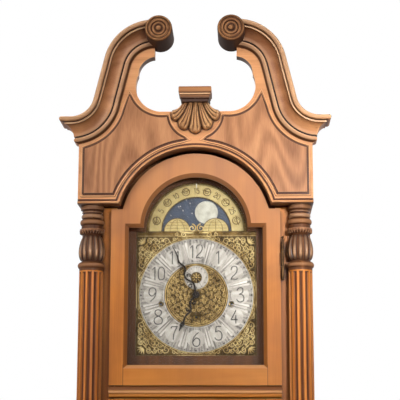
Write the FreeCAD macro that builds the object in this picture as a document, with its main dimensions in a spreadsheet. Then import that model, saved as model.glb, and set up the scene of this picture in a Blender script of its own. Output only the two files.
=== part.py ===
import FreeCAD, Part
import math
import os
import re

import Sketcher
from FreeCAD import Placement, Rotation, Vector

# A longcase clock in its own frame: millimetres, +Z up, the dial faces -Y, and the origin is on the
# floor under the middle of the case.

# Driving sizes in millimetres. The dial sets the door, the door sets the case, and the case sets the rest.
SIZES = {
    # Base
    "skirt_height": 110,
    "skirt_thickness": 16,
    "foot_height": 42,
    "foot_width": 96,
    "base_height": 430,
    "base_overhang": 26,
    "base_step": 18,
    "base_board": 18,
    "base_panel_side": 84,
    "base_panel_low": 50,
    "base_panel_high": 50,
    "base_panel_bevel": 10,
    "floor_board_z": 60,
    # Trunk and hood carcase
    "waist_height": 45,
    "waist_depth": 66,
    "waist_flare": 24,
    "waist_lip": 4,
    "waist_set": 2,
    "door_margin": 68,
    "side_board": 16,
    "back_y": 190,
    "back_board": 14,
    "post_front_y": -84,
    "post_thickness": 22,
    "rail_height": 24,
    "ledge_height": 25,
    "ledge_projection": 26,
    # Columns
    "column_inset": 24,
    "column_stand": 17,
    "column_radius": 27,
    "column_foot": 70,
    "capital_height": 143,
    "flute_radius": 4.8,
    "flute_gap": 8,
    "flute_count": 12,
    # Doors
    "door_thickness": 22,
    "door_overlap": 10,
    "door_gap": 2,
    "door_bevel": 8,
    "arch_gap": 7,
    "glass_rebate": 5,
    "glass_rebate_depth": 9,
    "glass_thickness": 4,
    "glass_clearance": 0.4,
    "glass_step": 1,
    "glass_lap": 3,
    "hood_stile": 39,
    "hood_arch_rail": 53,
    "hood_rail": 45,
    "trunk_stile": 44,
    "trunk_rail": 52,
    "knob_radius": 8,
    "knob_length": 26,
    # Hinges
    "hinge_offset_x": 4.7,
    "hinge_offset_y": 10,
    "knuckle_radius": 3.2,
    "pin_radius": 1.6,
    "running_clearance": 0.05,
    "end_clearance": 0.3,
    "hinge_length": 88,
    "hinge_leaf": 2.2,
    "hood_hinge_rise": 30,
    "trunk_hinge_inset": 105,
    # Frieze and pediment
    "arch_margin": 17.5,
    "arch_spring": 49,
    "frieze_overhang": 6,
    "frieze_step": 24,
    "frieze_thickness": 26,
    "panel_relief": 4,
    "panel_border": 14,
    "panel_arch_border": 23,
    "panel_apex_reach": 56,
    "panel_apex_drop": 58,
    "panel_step_inset": 16,
    "panel_cusp_x": 25,
    "panel_bay_radius": 80,
    "crown_rise": 10,
    "crown_height": 57,
    "crown_projection": 40,
    "neck_reach": 15.5,
    "neck_span": 185.5,
    "neck_rise": 113,
    "neck_low_radius": 52,
    "neck_high_radius": 114,
    "neck_inset": 3,
    "rosette_inset": 12,
    "rosette_rise": 87,
    "rosette_radius": 31,
    "rosette_relief": 7,
    "rosette_stand": 58,
    "cutout_rise": 19,
    "cutout_floor_inset": 13,
    "cutout_side_reach": 37,
    "cutout_side_drop": 7,
    "cutout_low_radius": 61,
    "cutout_high_radius": 42,
    "cutout_tip_rise": 36,
    # Shell and pedestal cap
    "shell_rise": 11,
    "shell_length": 71,
    "shell_lobe_radius": 14,
    "shell_pitch": 24,
    "shell_lobes": 5,
    "cap_half_width": 37,
    "cap_neck_half_width": 30,
    "cap_pier": 16.5,
    "cap_height": 34,
    "cap_stand": 31,
    "finial_radius": 5,
    "finial_depth": 20,
    # Dial
    "dial_z": 1558,
    "dial_thickness": 3,
    "dial_border": 10,
    "dial_border_low": 19,
    "dial_step": 3,
    "dial_shoulder": 21,
    "mask_thickness": 6,
    "mask_overlap": 4,
    "chapter_radius": 129.5,
    "chapter_width": 57.5,
    "chapter_border": 11.5,
    "chapter_thickness": 2,
    "applique_thickness": 1,
    "spandrel_gap": 9,
    "ring_play": 0.2,
    "arbor_play": 1,
    "seconds_border": 5,
    "seconds_clearance": 18,
    "lunar_border": 10,
    "lunar_width": 31,
    "hump_border": 5,
    "hump_gap": 14,
    "moon_lap": 7,
    "moon_hub_radius": 8,
    "moon_hub_length": 8,
    "moon_thickness": 1.5,
    "moon_gap": 1,
    "winding_border": 8,
    "winding_drop": 20,
    "strike_border": 22,
    "winding_hole": 6,
    # Hands
    "minute_hand_gap": 3.5,
    "minute_hand_width": 5,
    "minute_hand_lift": 12,
    "hour_hand_reach": 20,
    "hour_hand_width": 7,
    "hour_hand_lift": 7,
    "seconds_hand_gap": 5,
    "seconds_hand_width": 1.6,
    "seconds_hand_lift": 3,
    "seconds_boss": 3.4,
    "hand_boss": 2,
    "hand_thickness": 1.4,
    # Movement
    "plate_margin": 32,
    "plate_rise": 21,
    "plate_thickness": 3,
    "plate_spacing": 78,
    "motion_depth": 22,
    "anchor_cover": 34,
    "pillar_radius": 5,
    "pillar_low": 14,
    "pillar_high": 24,
    "seat_thickness": 18,
    "seat_gap": 11,
    "seat_front": 6,
    "seat_behind": 12,
    "arbor_radius": 2.5,
    "arbor_reach": 13,
    "pivot_radius": 1.5,
    "seconds_reach": 5,
    "winding_reach": 1,
    "pipe_radius": 4.6,
    "motion_distance": 30,
    "wheel_thickness": 3,
    "cannon_gap": 4,
    "minute_wheel_gap": 0.5,
    "pinion_length": 8,
    "hour_wheel_gap": 11,
    "stud_length": 14,
    "escape_gap": 13,
    "escape_tooth": 5,
    "anchor_rise": 18,
    "anchor_span": 22,
    "anchor_hub_radius": 6,
    "pallet_width": 4,
    "crutch_gap": 12,
    "crutch_length": 60,
    "crutch_width": 4,
    "fork_height": 6,
    "fork_play": 0.4,
    "drum_radius": 14,
    "drum_flange_radius": 22,
    "drum_flange": 3,
    "drum_length": 40,
    "drum_gap": 22,
    # Pendulum and weights
    "pendulum_length": 996,
    "pendulum_gap": 34,
    "bracket_gap": 14,
    "bracket_half_width": 9,
    "bracket_low": 16,
    "bracket_thickness": 5,
    "bob_radius": 92,
    "bob_thickness": 30,
    "bob_flat_radius": 2,
    "rod_width": 9,
    "rod_thickness": 3,
    "rod_end": 22,
    "nut_length": 10,
    "weight_radius": 28,
    "weight_length": 240,
    "weight_drop": 267,
    "weight_cap": 14,
    "hook_radius": 4,
    "hook_length": 16,
    "cable_radius": 1.2,
    "cable_slot": 8,
    "cable_gap": 0.3,
}

# Sizes that follow from the driving ones. Heights are from the floor, and x sizes from the middle plane.
DERIVED = {
    "dial_half_width": "chapter_radius + chapter_border",
    "dial_bottom": "dial_z - dial_half_width",
    "arch_z": "dial_z + chapter_radius + arch_margin",
    "dial_top": "arch_z + dial_step",
    "dial_arch_radius": "dial_half_width - dial_shoulder",
    "dial_front_y": "post_front_y + post_thickness + mask_thickness",
    "centre_radius": "chapter_radius - chapter_width",
    "seconds_radius": "(centre_radius - seconds_clearance) / 2",
    "seconds_inner_radius": "seconds_radius * 0.48",
    "seconds_offset": "centre_radius - seconds_radius - seconds_border",
    "lunar_radius": "dial_arch_radius - lunar_border",
    "lunar_inner_radius": "lunar_radius - lunar_width",
    "hump_radius": "(lunar_inner_radius - hump_border - hump_gap) / 2",
    "hump_x": "hump_gap + hump_radius",
    "moon_disc_radius": "lunar_inner_radius + moon_lap",
    "winding_x": "centre_radius + winding_border",
    "strike_drop": "centre_radius - strike_border",
    "minute_hand_length": "chapter_radius - minute_hand_gap",
    "hour_hand_length": "centre_radius + hour_hand_reach",
    "seconds_hand_length": "seconds_radius - seconds_hand_gap",
    "hood_glass_half_width": "dial_half_width + dial_border",
    "hood_glass_bottom": "dial_bottom - dial_border_low",
    "hood_glass_shoulder": "arch_z + glass_step",
    "hood_glass_radius": "dial_arch_radius - glass_lap",
    "door_half_width": "hood_glass_half_width + hood_stile",
    "door_front_y": "post_front_y - door_gap - door_thickness",
    "hood_door_radius": "hood_glass_radius + hood_arch_rail",
    "hood_door_shoulder": "frieze_bottom - arch_gap",
    "ledge_bottom": "hood_glass_bottom - hood_rail - door_gap - ledge_height",
    "hood_hinge_z": "dial_z + hood_hinge_rise",
    "trunk_hinge_low_z": "base_height + waist_height + trunk_hinge_inset",
    "trunk_hinge_high_z": "ledge_bottom - trunk_hinge_inset - hinge_length",
    "case_half_width": "door_half_width + door_margin",
    "post_inner_x": "door_half_width - door_overlap",
    "column_x": "case_half_width - column_inset",
    "column_y": "post_front_y - column_stand",
    "base_half_width": "case_half_width + base_overhang",
    "base_front_y": "frieze_front_y - base_step",
    "base_panel_half_width": "base_half_width - base_panel_side",
    "base_panel_bottom": "skirt_height + base_panel_low",
    "base_panel_top": "base_height - base_panel_high",
    "frieze_bottom": "arch_z + arch_spring",
    "frieze_half_width": "case_half_width + frieze_overhang",
    "frieze_front_y": "door_front_y - frieze_step",
    "frieze_radius": "hood_door_radius + arch_gap",
    "crown_bottom": "arch_z + frieze_radius + crown_rise",
    "crown_top": "crown_bottom + crown_height",
    "neck_low_x": "frieze_half_width + neck_reach",
    "neck_high_x": "neck_low_x - neck_span",
    "neck_high_z": "crown_top + neck_rise",
    "rosette_x": "neck_high_x - rosette_inset",
    "rosette_z": "neck_high_z + rosette_rise",
    "rosette_front_y": "frieze_front_y - rosette_stand",
    "cutout_floor": "crown_top + cutout_rise",
    "cutout_floor_x": "neck_high_x - cutout_floor_inset",
    "cutout_side_x": "neck_high_x + cutout_side_reach",
    "cutout_side_z": "neck_high_z - cutout_side_drop",
    "cutout_tip_z": "neck_high_z + cutout_tip_rise",
    "panel_apex_x": "neck_high_x + panel_apex_reach",
    "panel_apex_z": "neck_high_z - panel_apex_drop",
    "panel_step_x": "cutout_floor_x - panel_step_inset",
    "shell_z": "cutout_floor + shell_rise",
    "cap_bottom": "cutout_floor + cap_pier",
    "cap_front_y": "frieze_front_y - cap_stand",
    "plate_half_width": "winding_x + plate_margin",
    "plate_bottom": "dial_z - strike_drop - drum_flange_radius - seat_gap",
    "plate_top": "arch_z + plate_rise",
    "front_plate_y": "dial_front_y + motion_depth",
    "back_plate_y": "front_plate_y + plate_spacing",
    "escape_radius": "seconds_offset - escape_gap",
    "anchor_distance": "escape_radius + anchor_rise",
    "pendulum_y": "back_plate_y + pendulum_gap",
    "weight_y": "front_plate_y + drum_gap + drum_length / 2",
    "weight_top": "plate_bottom - seat_thickness - weight_drop",
}

doc = FreeCAD.newDocument("LongcaseClock")
sheet = doc.addObject("Spreadsheet::Sheet", "Dims")
for row, (size_name, number) in enumerate(SIZES.items(), 1):
    sheet.set(f"A{row}", size_name)
    sheet.set(f"B{row}", str(number))
    sheet.setAlias(f"B{row}", size_name)
doc.recompute()

nodes = []


def full(text):
    """An expression in which each derived size is written out and each driving size names its sheet."""
    def name_size(match):
        word = match.group()
        if word in DERIVED:
            return f"({full(DERIVED[word])})"
        return "Dims." + word if word in SIZES else word
    return re.sub(r"[a-z][a-z_]*", name_size, str(text))


def value(text):
    """The number that an expression of sizes gives."""
    result = sheet.evalExpression(full(text))
    return float(getattr(result, "Value", result))


def bind(item, target, text):
    item.setExpression(target, full(text))


def place(item, x="0", y="0", z="0", rotation=None):
    """Puts an object at a point given by expressions, turned by a fixed rotation."""
    if rotation is not None:
        item.Placement = Placement(Vector(), rotation)
    for axis, text in zip("xyz", (x, y, z)):
        bind(item, f"Placement.Base.{axis}", text)
    return item


def node(item, label):
    """Names a finished sub-part and lists it for export."""
    item.Label = label
    nodes.append(item)
    return item


TO_FRONT = Rotation(Vector(1, 0, 0), 90)
TO_BACK = Rotation(Vector(1, 0, 0), -90)
UPRIGHT = Rotation()


def box(name, x, y, z):
    """A block between two expressions along each axis."""
    item = doc.addObject("Part::Box", name)
    for target, (low, high) in zip(("Length", "Width", "Height"), (x, y, z)):
        bind(item, target, f"({high}) - ({low})")
    return place(item, x[0], y[0], z[0])


def rod(name, radius, length, x, y, z, rotation=UPRIGHT):
    """A round bar that starts at a point and runs along its rotation's own +Z."""
    item = doc.addObject("Part::Cylinder", name)
    bind(item, "Radius", radius)
    bind(item, "Height", length)
    return place(item, x, y, z, rotation)


def cut(name, base, *tools):
    """The base with each tool taken out of it in turn."""
    for number, tool in enumerate(tools):
        item = doc.addObject("Part::Cut", f"{name}_{number}")
        item.Base = base
        item.Tool = tool
        base = item
    return base


def fuse(name, *pieces):
    item = doc.addObject("Part::MultiFuse", name)
    item.Shapes = list(pieces)
    return item


def group(name, *pieces):
    """Separate solids that share one node."""
    item = doc.addObject("Part::Compound", name)
    item.Links = list(pieces)
    return item


def mirrored(name, source):
    """The same piece on the clock's other side."""
    item = doc.addObject("Part::Mirroring", name)
    item.Source = source
    item.Normal = Vector(1, 0, 0)
    return item


def pair(name, source):
    return group(name, source, mirrored(name + "_right", source))


def new_body(name):
    return doc.addObject("PartDesign::Body", name)


def new_sketch(body, plane, name, offset=None):
    """A sketch on one of its body's own planes, moved along the plane's normal by an expression."""
    sketch = body.newObject("Sketcher::SketchObject", name)
    support = [f for f in body.Origin.OriginFeatures if f.Role == plane][0]
    sketch.AttachmentSupport = [(support, "")]
    sketch.MapMode = "FlatFace"
    if offset is not None:
        bind(sketch, "AttachmentOffset.Base.z", offset)
    return sketch


def pin_point(sketch, item, position, x, y):
    """Fixes a vertex at two expressions, measured from the sketch's origin."""
    for kind, text in (("DistanceX", x), ("DistanceY", y)):
        rule = Sketcher.Constraint(kind, -1, 1, item, position, value(text))
        index = sketch.addConstraint(rule)
        bind(sketch, f"Constraints[{index}]", text)


def arc_centre(start, end, radius, turn):
    """The centre of the short arc from start to end that turns left (1) or right (-1)."""
    chord = end - start
    rise = math.sqrt(max(radius ** 2 - (chord.Length / 2) ** 2, 0))
    left = Vector(-chord.y, chord.x, 0)
    left.normalize()
    return (start + end) * 0.5 + left * rise * turn


def draw(sketch, points, closed=True):
    """An outline through points. A third entry makes the stretch from a point an arc: (radius, turn)."""
    count = len(points)
    corners = [Vector(value(point[0]), value(point[1]), 0) for point in points]
    ends = []
    for index in range(count if closed else count - 1):
        start = corners[index]
        end = corners[(index + 1) % count]
        if len(points[index]) == 2:
            item = sketch.addGeometry(Part.LineSegment(start, end), False)
            ends.append((item, 1, 2))
            continue
        radius, turn = points[index][2]
        size = value(radius)
        centre = arc_centre(start, end, size, turn)
        first, last = (start, end) if turn > 0 else (end, start)
        angles = [math.atan2(corner.y - centre.y, corner.x - centre.x) for corner in (first, last)]
        circle = Part.Circle(centre, Vector(0, 0, 1), size)
        item = sketch.addGeometry(Part.ArcOfCircle(circle, *angles), False)
        ends.append((item, 1, 2) if turn > 0 else (item, 2, 1))
        rule = sketch.addConstraint(Sketcher.Constraint("Radius", item, size))
        bind(sketch, f"Constraints[{rule}]", radius)
    for index, (item, first, last) in enumerate(ends):
        pin_point(sketch, item, first, *points[index][:2])
        following = ends[(index + 1) % len(ends)]
        if closed or index + 1 < len(ends):
            sketch.addConstraint(Sketcher.Constraint("Coincident", item, last, following[0], following[1]))
        else:
            pin_point(sketch, item, last, *points[-1][:2])


def draw_circle(sketch, x, y, radius):
    circle = Part.Circle(Vector(value(x), value(y), 0), Vector(0, 0, 1), value(radius))
    item = sketch.addGeometry(circle, False)
    rule = sketch.addConstraint(Sketcher.Constraint("Radius", item, value(radius)))
    bind(sketch, f"Constraints[{rule}]", radius)
    pin_point(sketch, item, 3, x, y)


def pad(body, sketch, length, name):
    feature = body.newObject("PartDesign::Pad", name)
    feature.Profile = sketch
    bind(feature, "Length", length)
    return feature


def board(name, loops, back_y, thickness, circles=()):
    """A flat piece cut to outlines in the front plane, from back_y forward by its thickness."""
    body = new_body(name)
    sketch = new_sketch(body, "XZ_Plane", name + "_outline")
    for points in loops:
        draw(sketch, points)
    for circle in circles:
        draw_circle(sketch, *circle)
    pad(body, sketch, thickness, name + "_pad")
    return place(body, y=back_y)


def run(name, points, start_x, length):
    """A moulding of one section, drawn in y and z, that runs along +X."""
    body = new_body(name)
    sketch = new_sketch(body, "YZ_Plane", name + "_section")
    draw(sketch, points)
    pad(body, sketch, length, name + "_pad")
    return place(body, x=start_x)


def turned(name, points, x, y, z, rotation=UPRIGHT):
    """A turned piece from its half section, drawn as radius and height along its axis."""
    body = new_body(name)
    sketch = new_sketch(body, "XZ_Plane", name + "_section")
    draw(sketch, points)
    feature = body.newObject("PartDesign::Revolution", name + "_turning")
    feature.Profile = sketch
    feature.ReferenceAxis = (sketch, ["V_Axis"])
    feature.Angle = 360
    return place(body, x, y, z, rotation)


def surround(name, section, half_width, front_y):
    """A moulding of one section that goes along the left side, the front and the right side, mitred."""
    body = new_body(name)
    path = new_sketch(body, "XY_Plane", name + "_path")
    corners = [(f"-({half_width})", "back_y"), (f"-({half_width})", front_y),
               (half_width, front_y), (half_width, "back_y")]
    draw(path, corners, closed=False)
    profile = new_sketch(body, "XZ_Plane", name + "_section", "-back_y")
    draw(profile, [(f"-({half_width}) - ({point[0]})",) + tuple(point[1:]) for point in section])
    sweep = body.newObject("PartDesign::AdditivePipe", name + "_sweep")
    sweep.Profile = profile
    sweep.Spine = (path, ["Edge1", "Edge2", "Edge3"])
    sweep.Transition = "Right corner"
    return body


def arched_loop(half_width, bottom, shoulder, radius):
    """A rectangle with a round arch on its shoulders, about the common arch centre."""
    chord = f"sqrt(({radius})^2 - (({shoulder}) - arch_z)^2)"
    return [(f"-({half_width})", bottom), (half_width, bottom), (half_width, shoulder),
            (chord, shoulder, (radius, 1)), (f"-({chord})", shoulder), (f"-({half_width})", shoulder)]


def square_loop(half_width, bottom, top):
    return [(f"-({half_width})", bottom), (half_width, bottom), (half_width, top), (f"-({half_width})", top)]


# Levels and planes that several pieces share
TRUNK_BOTTOM = "(base_height + waist_height)"
LEDGE_TOP = "(ledge_bottom + ledge_height)"
BACK_FRONT_Y = "(back_y - back_board)"
POST_BACK_Y = "(post_front_y + post_thickness)"
FRIEZE_BACK_Y = "(frieze_front_y + frieze_thickness)"
DIAL_BACK_Y = "(dial_front_y + dial_thickness)"
SECONDS_Z = "(dial_z + seconds_offset)"
ANCHOR_Z = "(dial_z + seconds_offset + anchor_distance)"
CASE_INNER_X = "(case_half_width - side_board)"
PLATES_BACK_Y = "(back_plate_y + plate_thickness)"


def make_base(back):
    inner_x = "(base_half_width - base_board)"
    front_back_y = "(base_front_y + base_board)"
    sides = box("base_side", ("-base_half_width", f"-{inner_x}"), (front_back_y, BACK_FRONT_Y),
                ("0", "base_height"))
    node(pair("base_sides_pair", sides), "base_sides")
    front = box("base_front_board", ("-base_half_width", "base_half_width"),
                ("base_front_y", front_back_y), ("0", "base_height"))
    arch = box("base_front_arch", ("foot_width - base_half_width", "base_half_width - foot_width"),
               ("base_front_y", front_back_y), ("0", "foot_height"))
    node(cut("base_front_cut", front, arch), "base_front")
    panel_outline = square_loop("base_panel_half_width", "base_panel_bottom", "base_panel_top")
    panel = board("base_panel_board", [panel_outline], "base_front_y", "base_panel_bevel")
    doc.recompute()
    blank = panel.Tip
    front_face = face_at_y(panel, "-base_panel_bevel")
    bevel = panel.newObject("PartDesign::Chamfer", "base_panel_edge")
    bevel.Base = (blank, [front_face])
    bind(bevel, "Size", "base_panel_bevel * 0.6")
    node(panel, "base_panel")
    node(box("base_floor_board", (f"-{inner_x}", inner_x), (front_back_y, BACK_FRONT_Y),
             ("floor_board_z", "floor_board_z + base_board")), "base_floor")
    skirt = surround("skirt", [
        ("0", "0"), ("skirt_thickness", "0"), ("skirt_thickness", "skirt_height * 0.8"),
        ("skirt_thickness * 0.8", "skirt_height * 0.82"), ("skirt_thickness * 0.8", "skirt_height * 0.86",
                                                          ("skirt_thickness * 0.9", -1)),
        ("0", "skirt_height")], "base_half_width", "base_front_y")
    front_gap = board("skirt_front_gap", [[
        ("foot_width - base_half_width", "-foot_height"), ("base_half_width - foot_width", "-foot_height"),
        ("base_half_width - foot_width", "foot_height * 0.5", ("foot_height", 1)),
        ("base_half_width - foot_width * 1.4", "foot_height"),
        ("foot_width * 1.4 - base_half_width", "foot_height", ("foot_height", 1)),
        ("foot_width - base_half_width", "foot_height * 0.5")]],
        "base_front_y", "skirt_thickness * 2")
    beyond = "(base_half_width + skirt_thickness * 2)"
    side_gap = box("skirt_side_gap", (f"-{beyond}", beyond),
                   ("base_front_y + foot_width", "back_y - foot_width"), ("-foot_height", "foot_height"))
    node(cut("skirt_feet", skirt, front_gap, side_gap), "plinth_skirt")
    waist = surround("waist", [
        ("-waist_depth", "base_height"),
        ("waist_flare + waist_lip", "base_height", ("waist_height * 0.16", 1)),
        ("waist_flare + waist_lip", "base_height + waist_height * 0.3"),
        ("waist_flare", "base_height + waist_height * 0.36", ("waist_height * 0.6", -1)),
        ("waist_lip", "base_height + waist_height * 0.88"), ("waist_lip", TRUNK_BOTTOM),
        ("-waist_depth", TRUNK_BOTTOM)], "case_half_width + waist_set", "frieze_front_y - waist_set")
    node(cut("waist_notch", waist, back), "waist_moulding")


def face_at_y(body, level):
    """The name of a body's flat face whose middle lies at a level along the body's own Y."""
    target = value(level)
    for number, face in enumerate(body.Tip.Shape.Faces, 1):
        if abs(face.CenterOfMass.y - target) < 1e-4 and abs(face.normalAt(0, 0).y) > 0.99:
            return f"Face{number}"
    raise ValueError(f"no face at {level}")


def make_carcase():
    """Back board, sides, posts, rails and ledge. Returns the back board, which the base is fitted to."""
    wide = "(base_half_width - base_board)"
    back = node(board("back", [[
        (f"-{wide}", "0"), (wide, "0"), (wide, "base_height"), (CASE_INNER_X, "base_height"),
        (CASE_INNER_X, "crown_top"), (f"-{CASE_INNER_X}", "crown_top"), (f"-{CASE_INNER_X}", "base_height"),
        (f"-{wide}", "base_height")]], "back_y", "back_board"), "back_board")
    side = box("case_side", ("-case_half_width", f"-{CASE_INNER_X}"), (POST_BACK_Y, "back_y"),
               (TRUNK_BOTTOM, "frieze_bottom"))
    node(pair("case_sides_pair", side), "case_sides")
    post = box("post", ("-case_half_width", "-post_inner_x"), ("post_front_y", POST_BACK_Y),
               (TRUNK_BOTTOM, "frieze_bottom"))
    node(pair("corner_posts_pair", post), "corner_posts")
    node(box("rail", ("-post_inner_x", "post_inner_x"), ("post_front_y", POST_BACK_Y),
             (TRUNK_BOTTOM, f"{TRUNK_BOTTOM} + rail_height")), "lower_rail")
    front = "(post_front_y - ledge_projection)"
    nosing = run("ledge_nosing", [
        ("post_front_y", "ledge_bottom"),
        (f"{front} + ledge_height * 0.4", "ledge_bottom", ("ledge_height * 0.4", -1)),
        (f"{front} + ledge_height * 0.16", "ledge_bottom + ledge_height * 0.35"),
        (front, "ledge_bottom + ledge_height * 0.4", ("ledge_height * 0.4", -1)),
        (front, f"{LEDGE_TOP} - ledge_height * 0.1"), (f"{front} + ledge_height * 0.1", LEDGE_TOP),
        ("post_front_y", LEDGE_TOP)], "-door_half_width", "door_half_width * 2")
    rail = box("ledge_rail", ("-post_inner_x", "post_inner_x"), ("post_front_y", POST_BACK_Y),
               ("ledge_bottom", LEDGE_TOP))
    node(fuse("ledge_fuse", nosing, rail), "ledge_moulding")
    return back


# The column's outline, as offsets from its radius and heights above its foot or below its top
FOOT_STEPS = [(2, 0), (2, 26, (7, 1)), (2, 38), (-1, 42), (-1, 50), (0, 54)]
CAPITAL_STEPS = [
    (0, 143), (1, 142, (8, 1)), (1, 130), (-6, 126, (75, 1)), (-8, 68), (-3, 61), (0, 53), (-3, 52), (-3, 46),
    (-4, 45, (8, 1)), (-4, 31), (-6, 29, (16, -1)), (-4, 10), (-1, 9), (-1, 0)]


def make_columns():
    """Turned from the frieze down: ring, neck, torus, leaf ring, vase, ring and a fluted shaft."""
    height = f"(frieze_bottom - {TRUNK_BOTTOM})"
    radius = "column_radius"
    foot = [(f"{radius} + {out}", str(level), *bend) for out, level, *bend in FOOT_STEPS]
    capital = [(f"{radius} + {out}", f"{height} - capital_height * {drop} / {CAPITAL_STEPS[0][1]}", *bend)
               for out, drop, *bend in CAPITAL_STEPS]
    outline = [("0", "0")] + foot + capital + [("0", height)]
    body = turned("column", outline, "-column_x", "column_y", TRUNK_BOTTOM)
    mark = new_sketch(body, "XY_Plane", "flute_section", "column_foot")
    draw_circle(mark, radius, "0", "flute_radius")
    flute = body.newObject("PartDesign::Pocket", "flute")
    flute.Profile = mark
    flute.Reversed = True
    bind(flute, "Length", f"{height} - capital_height - column_foot - flute_gap")
    pattern = body.newObject("PartDesign::PolarPattern", "flutes")
    pattern.Originals = [flute]
    pattern.Axis = (mark, ["N_Axis"])
    pattern.Angle = 360
    bind(pattern, "Occurrences", "flute_count")
    body.Tip = pattern
    reach = f"{radius} * 2.2"
    behind = box("column_seat", (f"-column_x - {reach}", f"-column_x + {reach}"),
                 ("post_front_y", f"post_front_y + {reach}"), ("0", "frieze_bottom"))
    left = cut("column_flat", body, behind)
    node(left, "left_column")
    node(mirrored("right_column_mirror", left), "right_column")


# The swan neck's centre line geometry: two arcs joined by their cross tangent
LOW_Z = f"(crown_top + neck_low_radius)"
SPAN_X = "(neck_low_x - neck_high_x)"
SPAN_Z = f"(neck_high_z - {LOW_Z})"
RADII = "(neck_low_radius + neck_high_radius)"
SPAN_SQUARE = f"({SPAN_X}^2 + {SPAN_Z}^2)"
TANGENT = f"sqrt({SPAN_SQUARE} - {RADII}^2)"
RUN_X = f"(({SPAN_X} * {TANGENT} - {SPAN_Z} * {RADII}) / {SPAN_SQUARE})"
RUN_Z = f"(({SPAN_X} * {RADII} + {SPAN_Z} * {TANGENT}) / {SPAN_SQUARE})"


def neck_low_point(inset):
    """Where the neck's lower arc ends, on a curve that lies inside the outer one by an inset."""
    return (f"-neck_low_x + (neck_low_radius + {inset}) * {RUN_Z}",
            f"{LOW_Z} - (neck_low_radius + {inset}) * {RUN_X}")


def neck_high_point(inset):
    """Where the neck's upper arc starts, on the same inset curve."""
    return (f"-neck_high_x - (neck_high_radius - {inset}) * {RUN_Z}",
            f"neck_high_z + (neck_high_radius - {inset}) * {RUN_X}")


def crown_section(wall, top):
    """The crown's section from its top: torus, groove, fillet, cove, groove and bead."""
    out = "crown_projection"
    down = "crown_height"
    steps = [
        (0, 0), (0.86, 0, (0.11, 1)), (0.86, 0.22), (0.76, 0.22), (0.76, 0.28), (0.68, 0.28, (0.5, -1)),
        (0.26, 0.72), (0.14, 0.72), (0.14, 0.78), (0.2, 0.78, (0.1, 1)), (0.12, 0.96), (0, 1)]
    section = []
    for share, drop, *bend in steps:
        arcs = [(f"{down} * {size}", turn) for size, turn in bend]
        section.append((f"{wall} - {out} * {share}", f"{top} - {down} * {drop}", *arcs))
    return section


def make_pediment():
    out_x = "(frieze_half_width + crown_projection)"
    corner = box("mitre", ("0", "crown_projection * 14"), ("0", "crown_projection * 12"),
                 ("0", "crown_height * 6"))
    corner.Placement = Placement(Vector(), Rotation(Vector(0, 0, 1), 45))
    place(corner, "-frieze_half_width - crown_projection * 3 / sqrt(2)",
          "frieze_front_y - crown_projection * 3 / sqrt(2)", "crown_bottom - crown_height")
    body = new_body("neck")
    path = new_sketch(body, "XZ_Plane", "neck_path")
    draw(path, [
        (f"-{out_x}", "crown_top"), ("-neck_low_x", "crown_top", ("neck_low_radius", 1)), neck_low_point("0"),
        neck_high_point("0") + (("neck_high_radius", -1),),
        ("-neck_high_x", "neck_high_z + neck_high_radius")], closed=False)
    profile = new_sketch(body, "YZ_Plane", "neck_section", f"-{out_x}")
    draw(profile, crown_section("frieze_front_y", "crown_top"))
    sweep = body.newObject("PartDesign::AdditivePipe", "neck_sweep")
    sweep.Profile = profile
    sweep.Spine = (path, ["Edge1", "Edge2", "Edge3", "Edge4"])
    scroll = rod("scroll_seat", "rosette_radius", "-rosette_front_y", "-rosette_x", "0", "rosette_z",
                 TO_FRONT)
    left = cut("neck_mitre", body, corner, scroll)
    node(left, "left_swan_neck")
    node(mirrored("right_neck", left), "right_swan_neck")
    strip = new_body("crown_strip")
    end = new_sketch(strip, "XZ_Plane", "crown_strip_section", f"-{FRIEZE_BACK_Y}")
    draw(end, crown_section("-frieze_half_width", "crown_top"))
    pad(strip, end, "frieze_thickness + crown_projection", "crown_strip_pad")
    side = doc.addObject("Part::Common", "crown_strip_mitre")
    side.Base = strip
    side.Tool = corner
    node(pair("crown_returns_pair", side), "crown_returns")
    steps = [
        (1, 1, (0.226, 1)), (0.87, 0.14), (0.774, 0.57), (0.71, 0.57, (0.103, 1)), (0.548, 0.57),
        (0.516, 0.86, (0.194, 1)), (0.29, 0.57), (0.226, 0.71, (0.232, 1)), (0.03, 0)]
    rings = []
    for share, drop, *bend in steps:
        arcs = [(f"rosette_radius * {size}", turn) for size, turn in bend]
        rings.append((f"rosette_radius * {share}", f"{ROSETTE_LENGTH} - rosette_relief * {drop}", *arcs))
    rosette = turned("rosette", [("0", "0"), ("rosette_radius", "0")] + rings + [("0", ROSETTE_LENGTH)],
                     "-rosette_x", FRIEZE_BACK_Y, "rosette_z", TO_FRONT)
    node(pair("rosettes_pair", rosette), "scroll_rosettes")
    make_frieze(scroll)


ROSETTE_LENGTH = f"({FRIEZE_BACK_Y} - rosette_front_y)"


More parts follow.
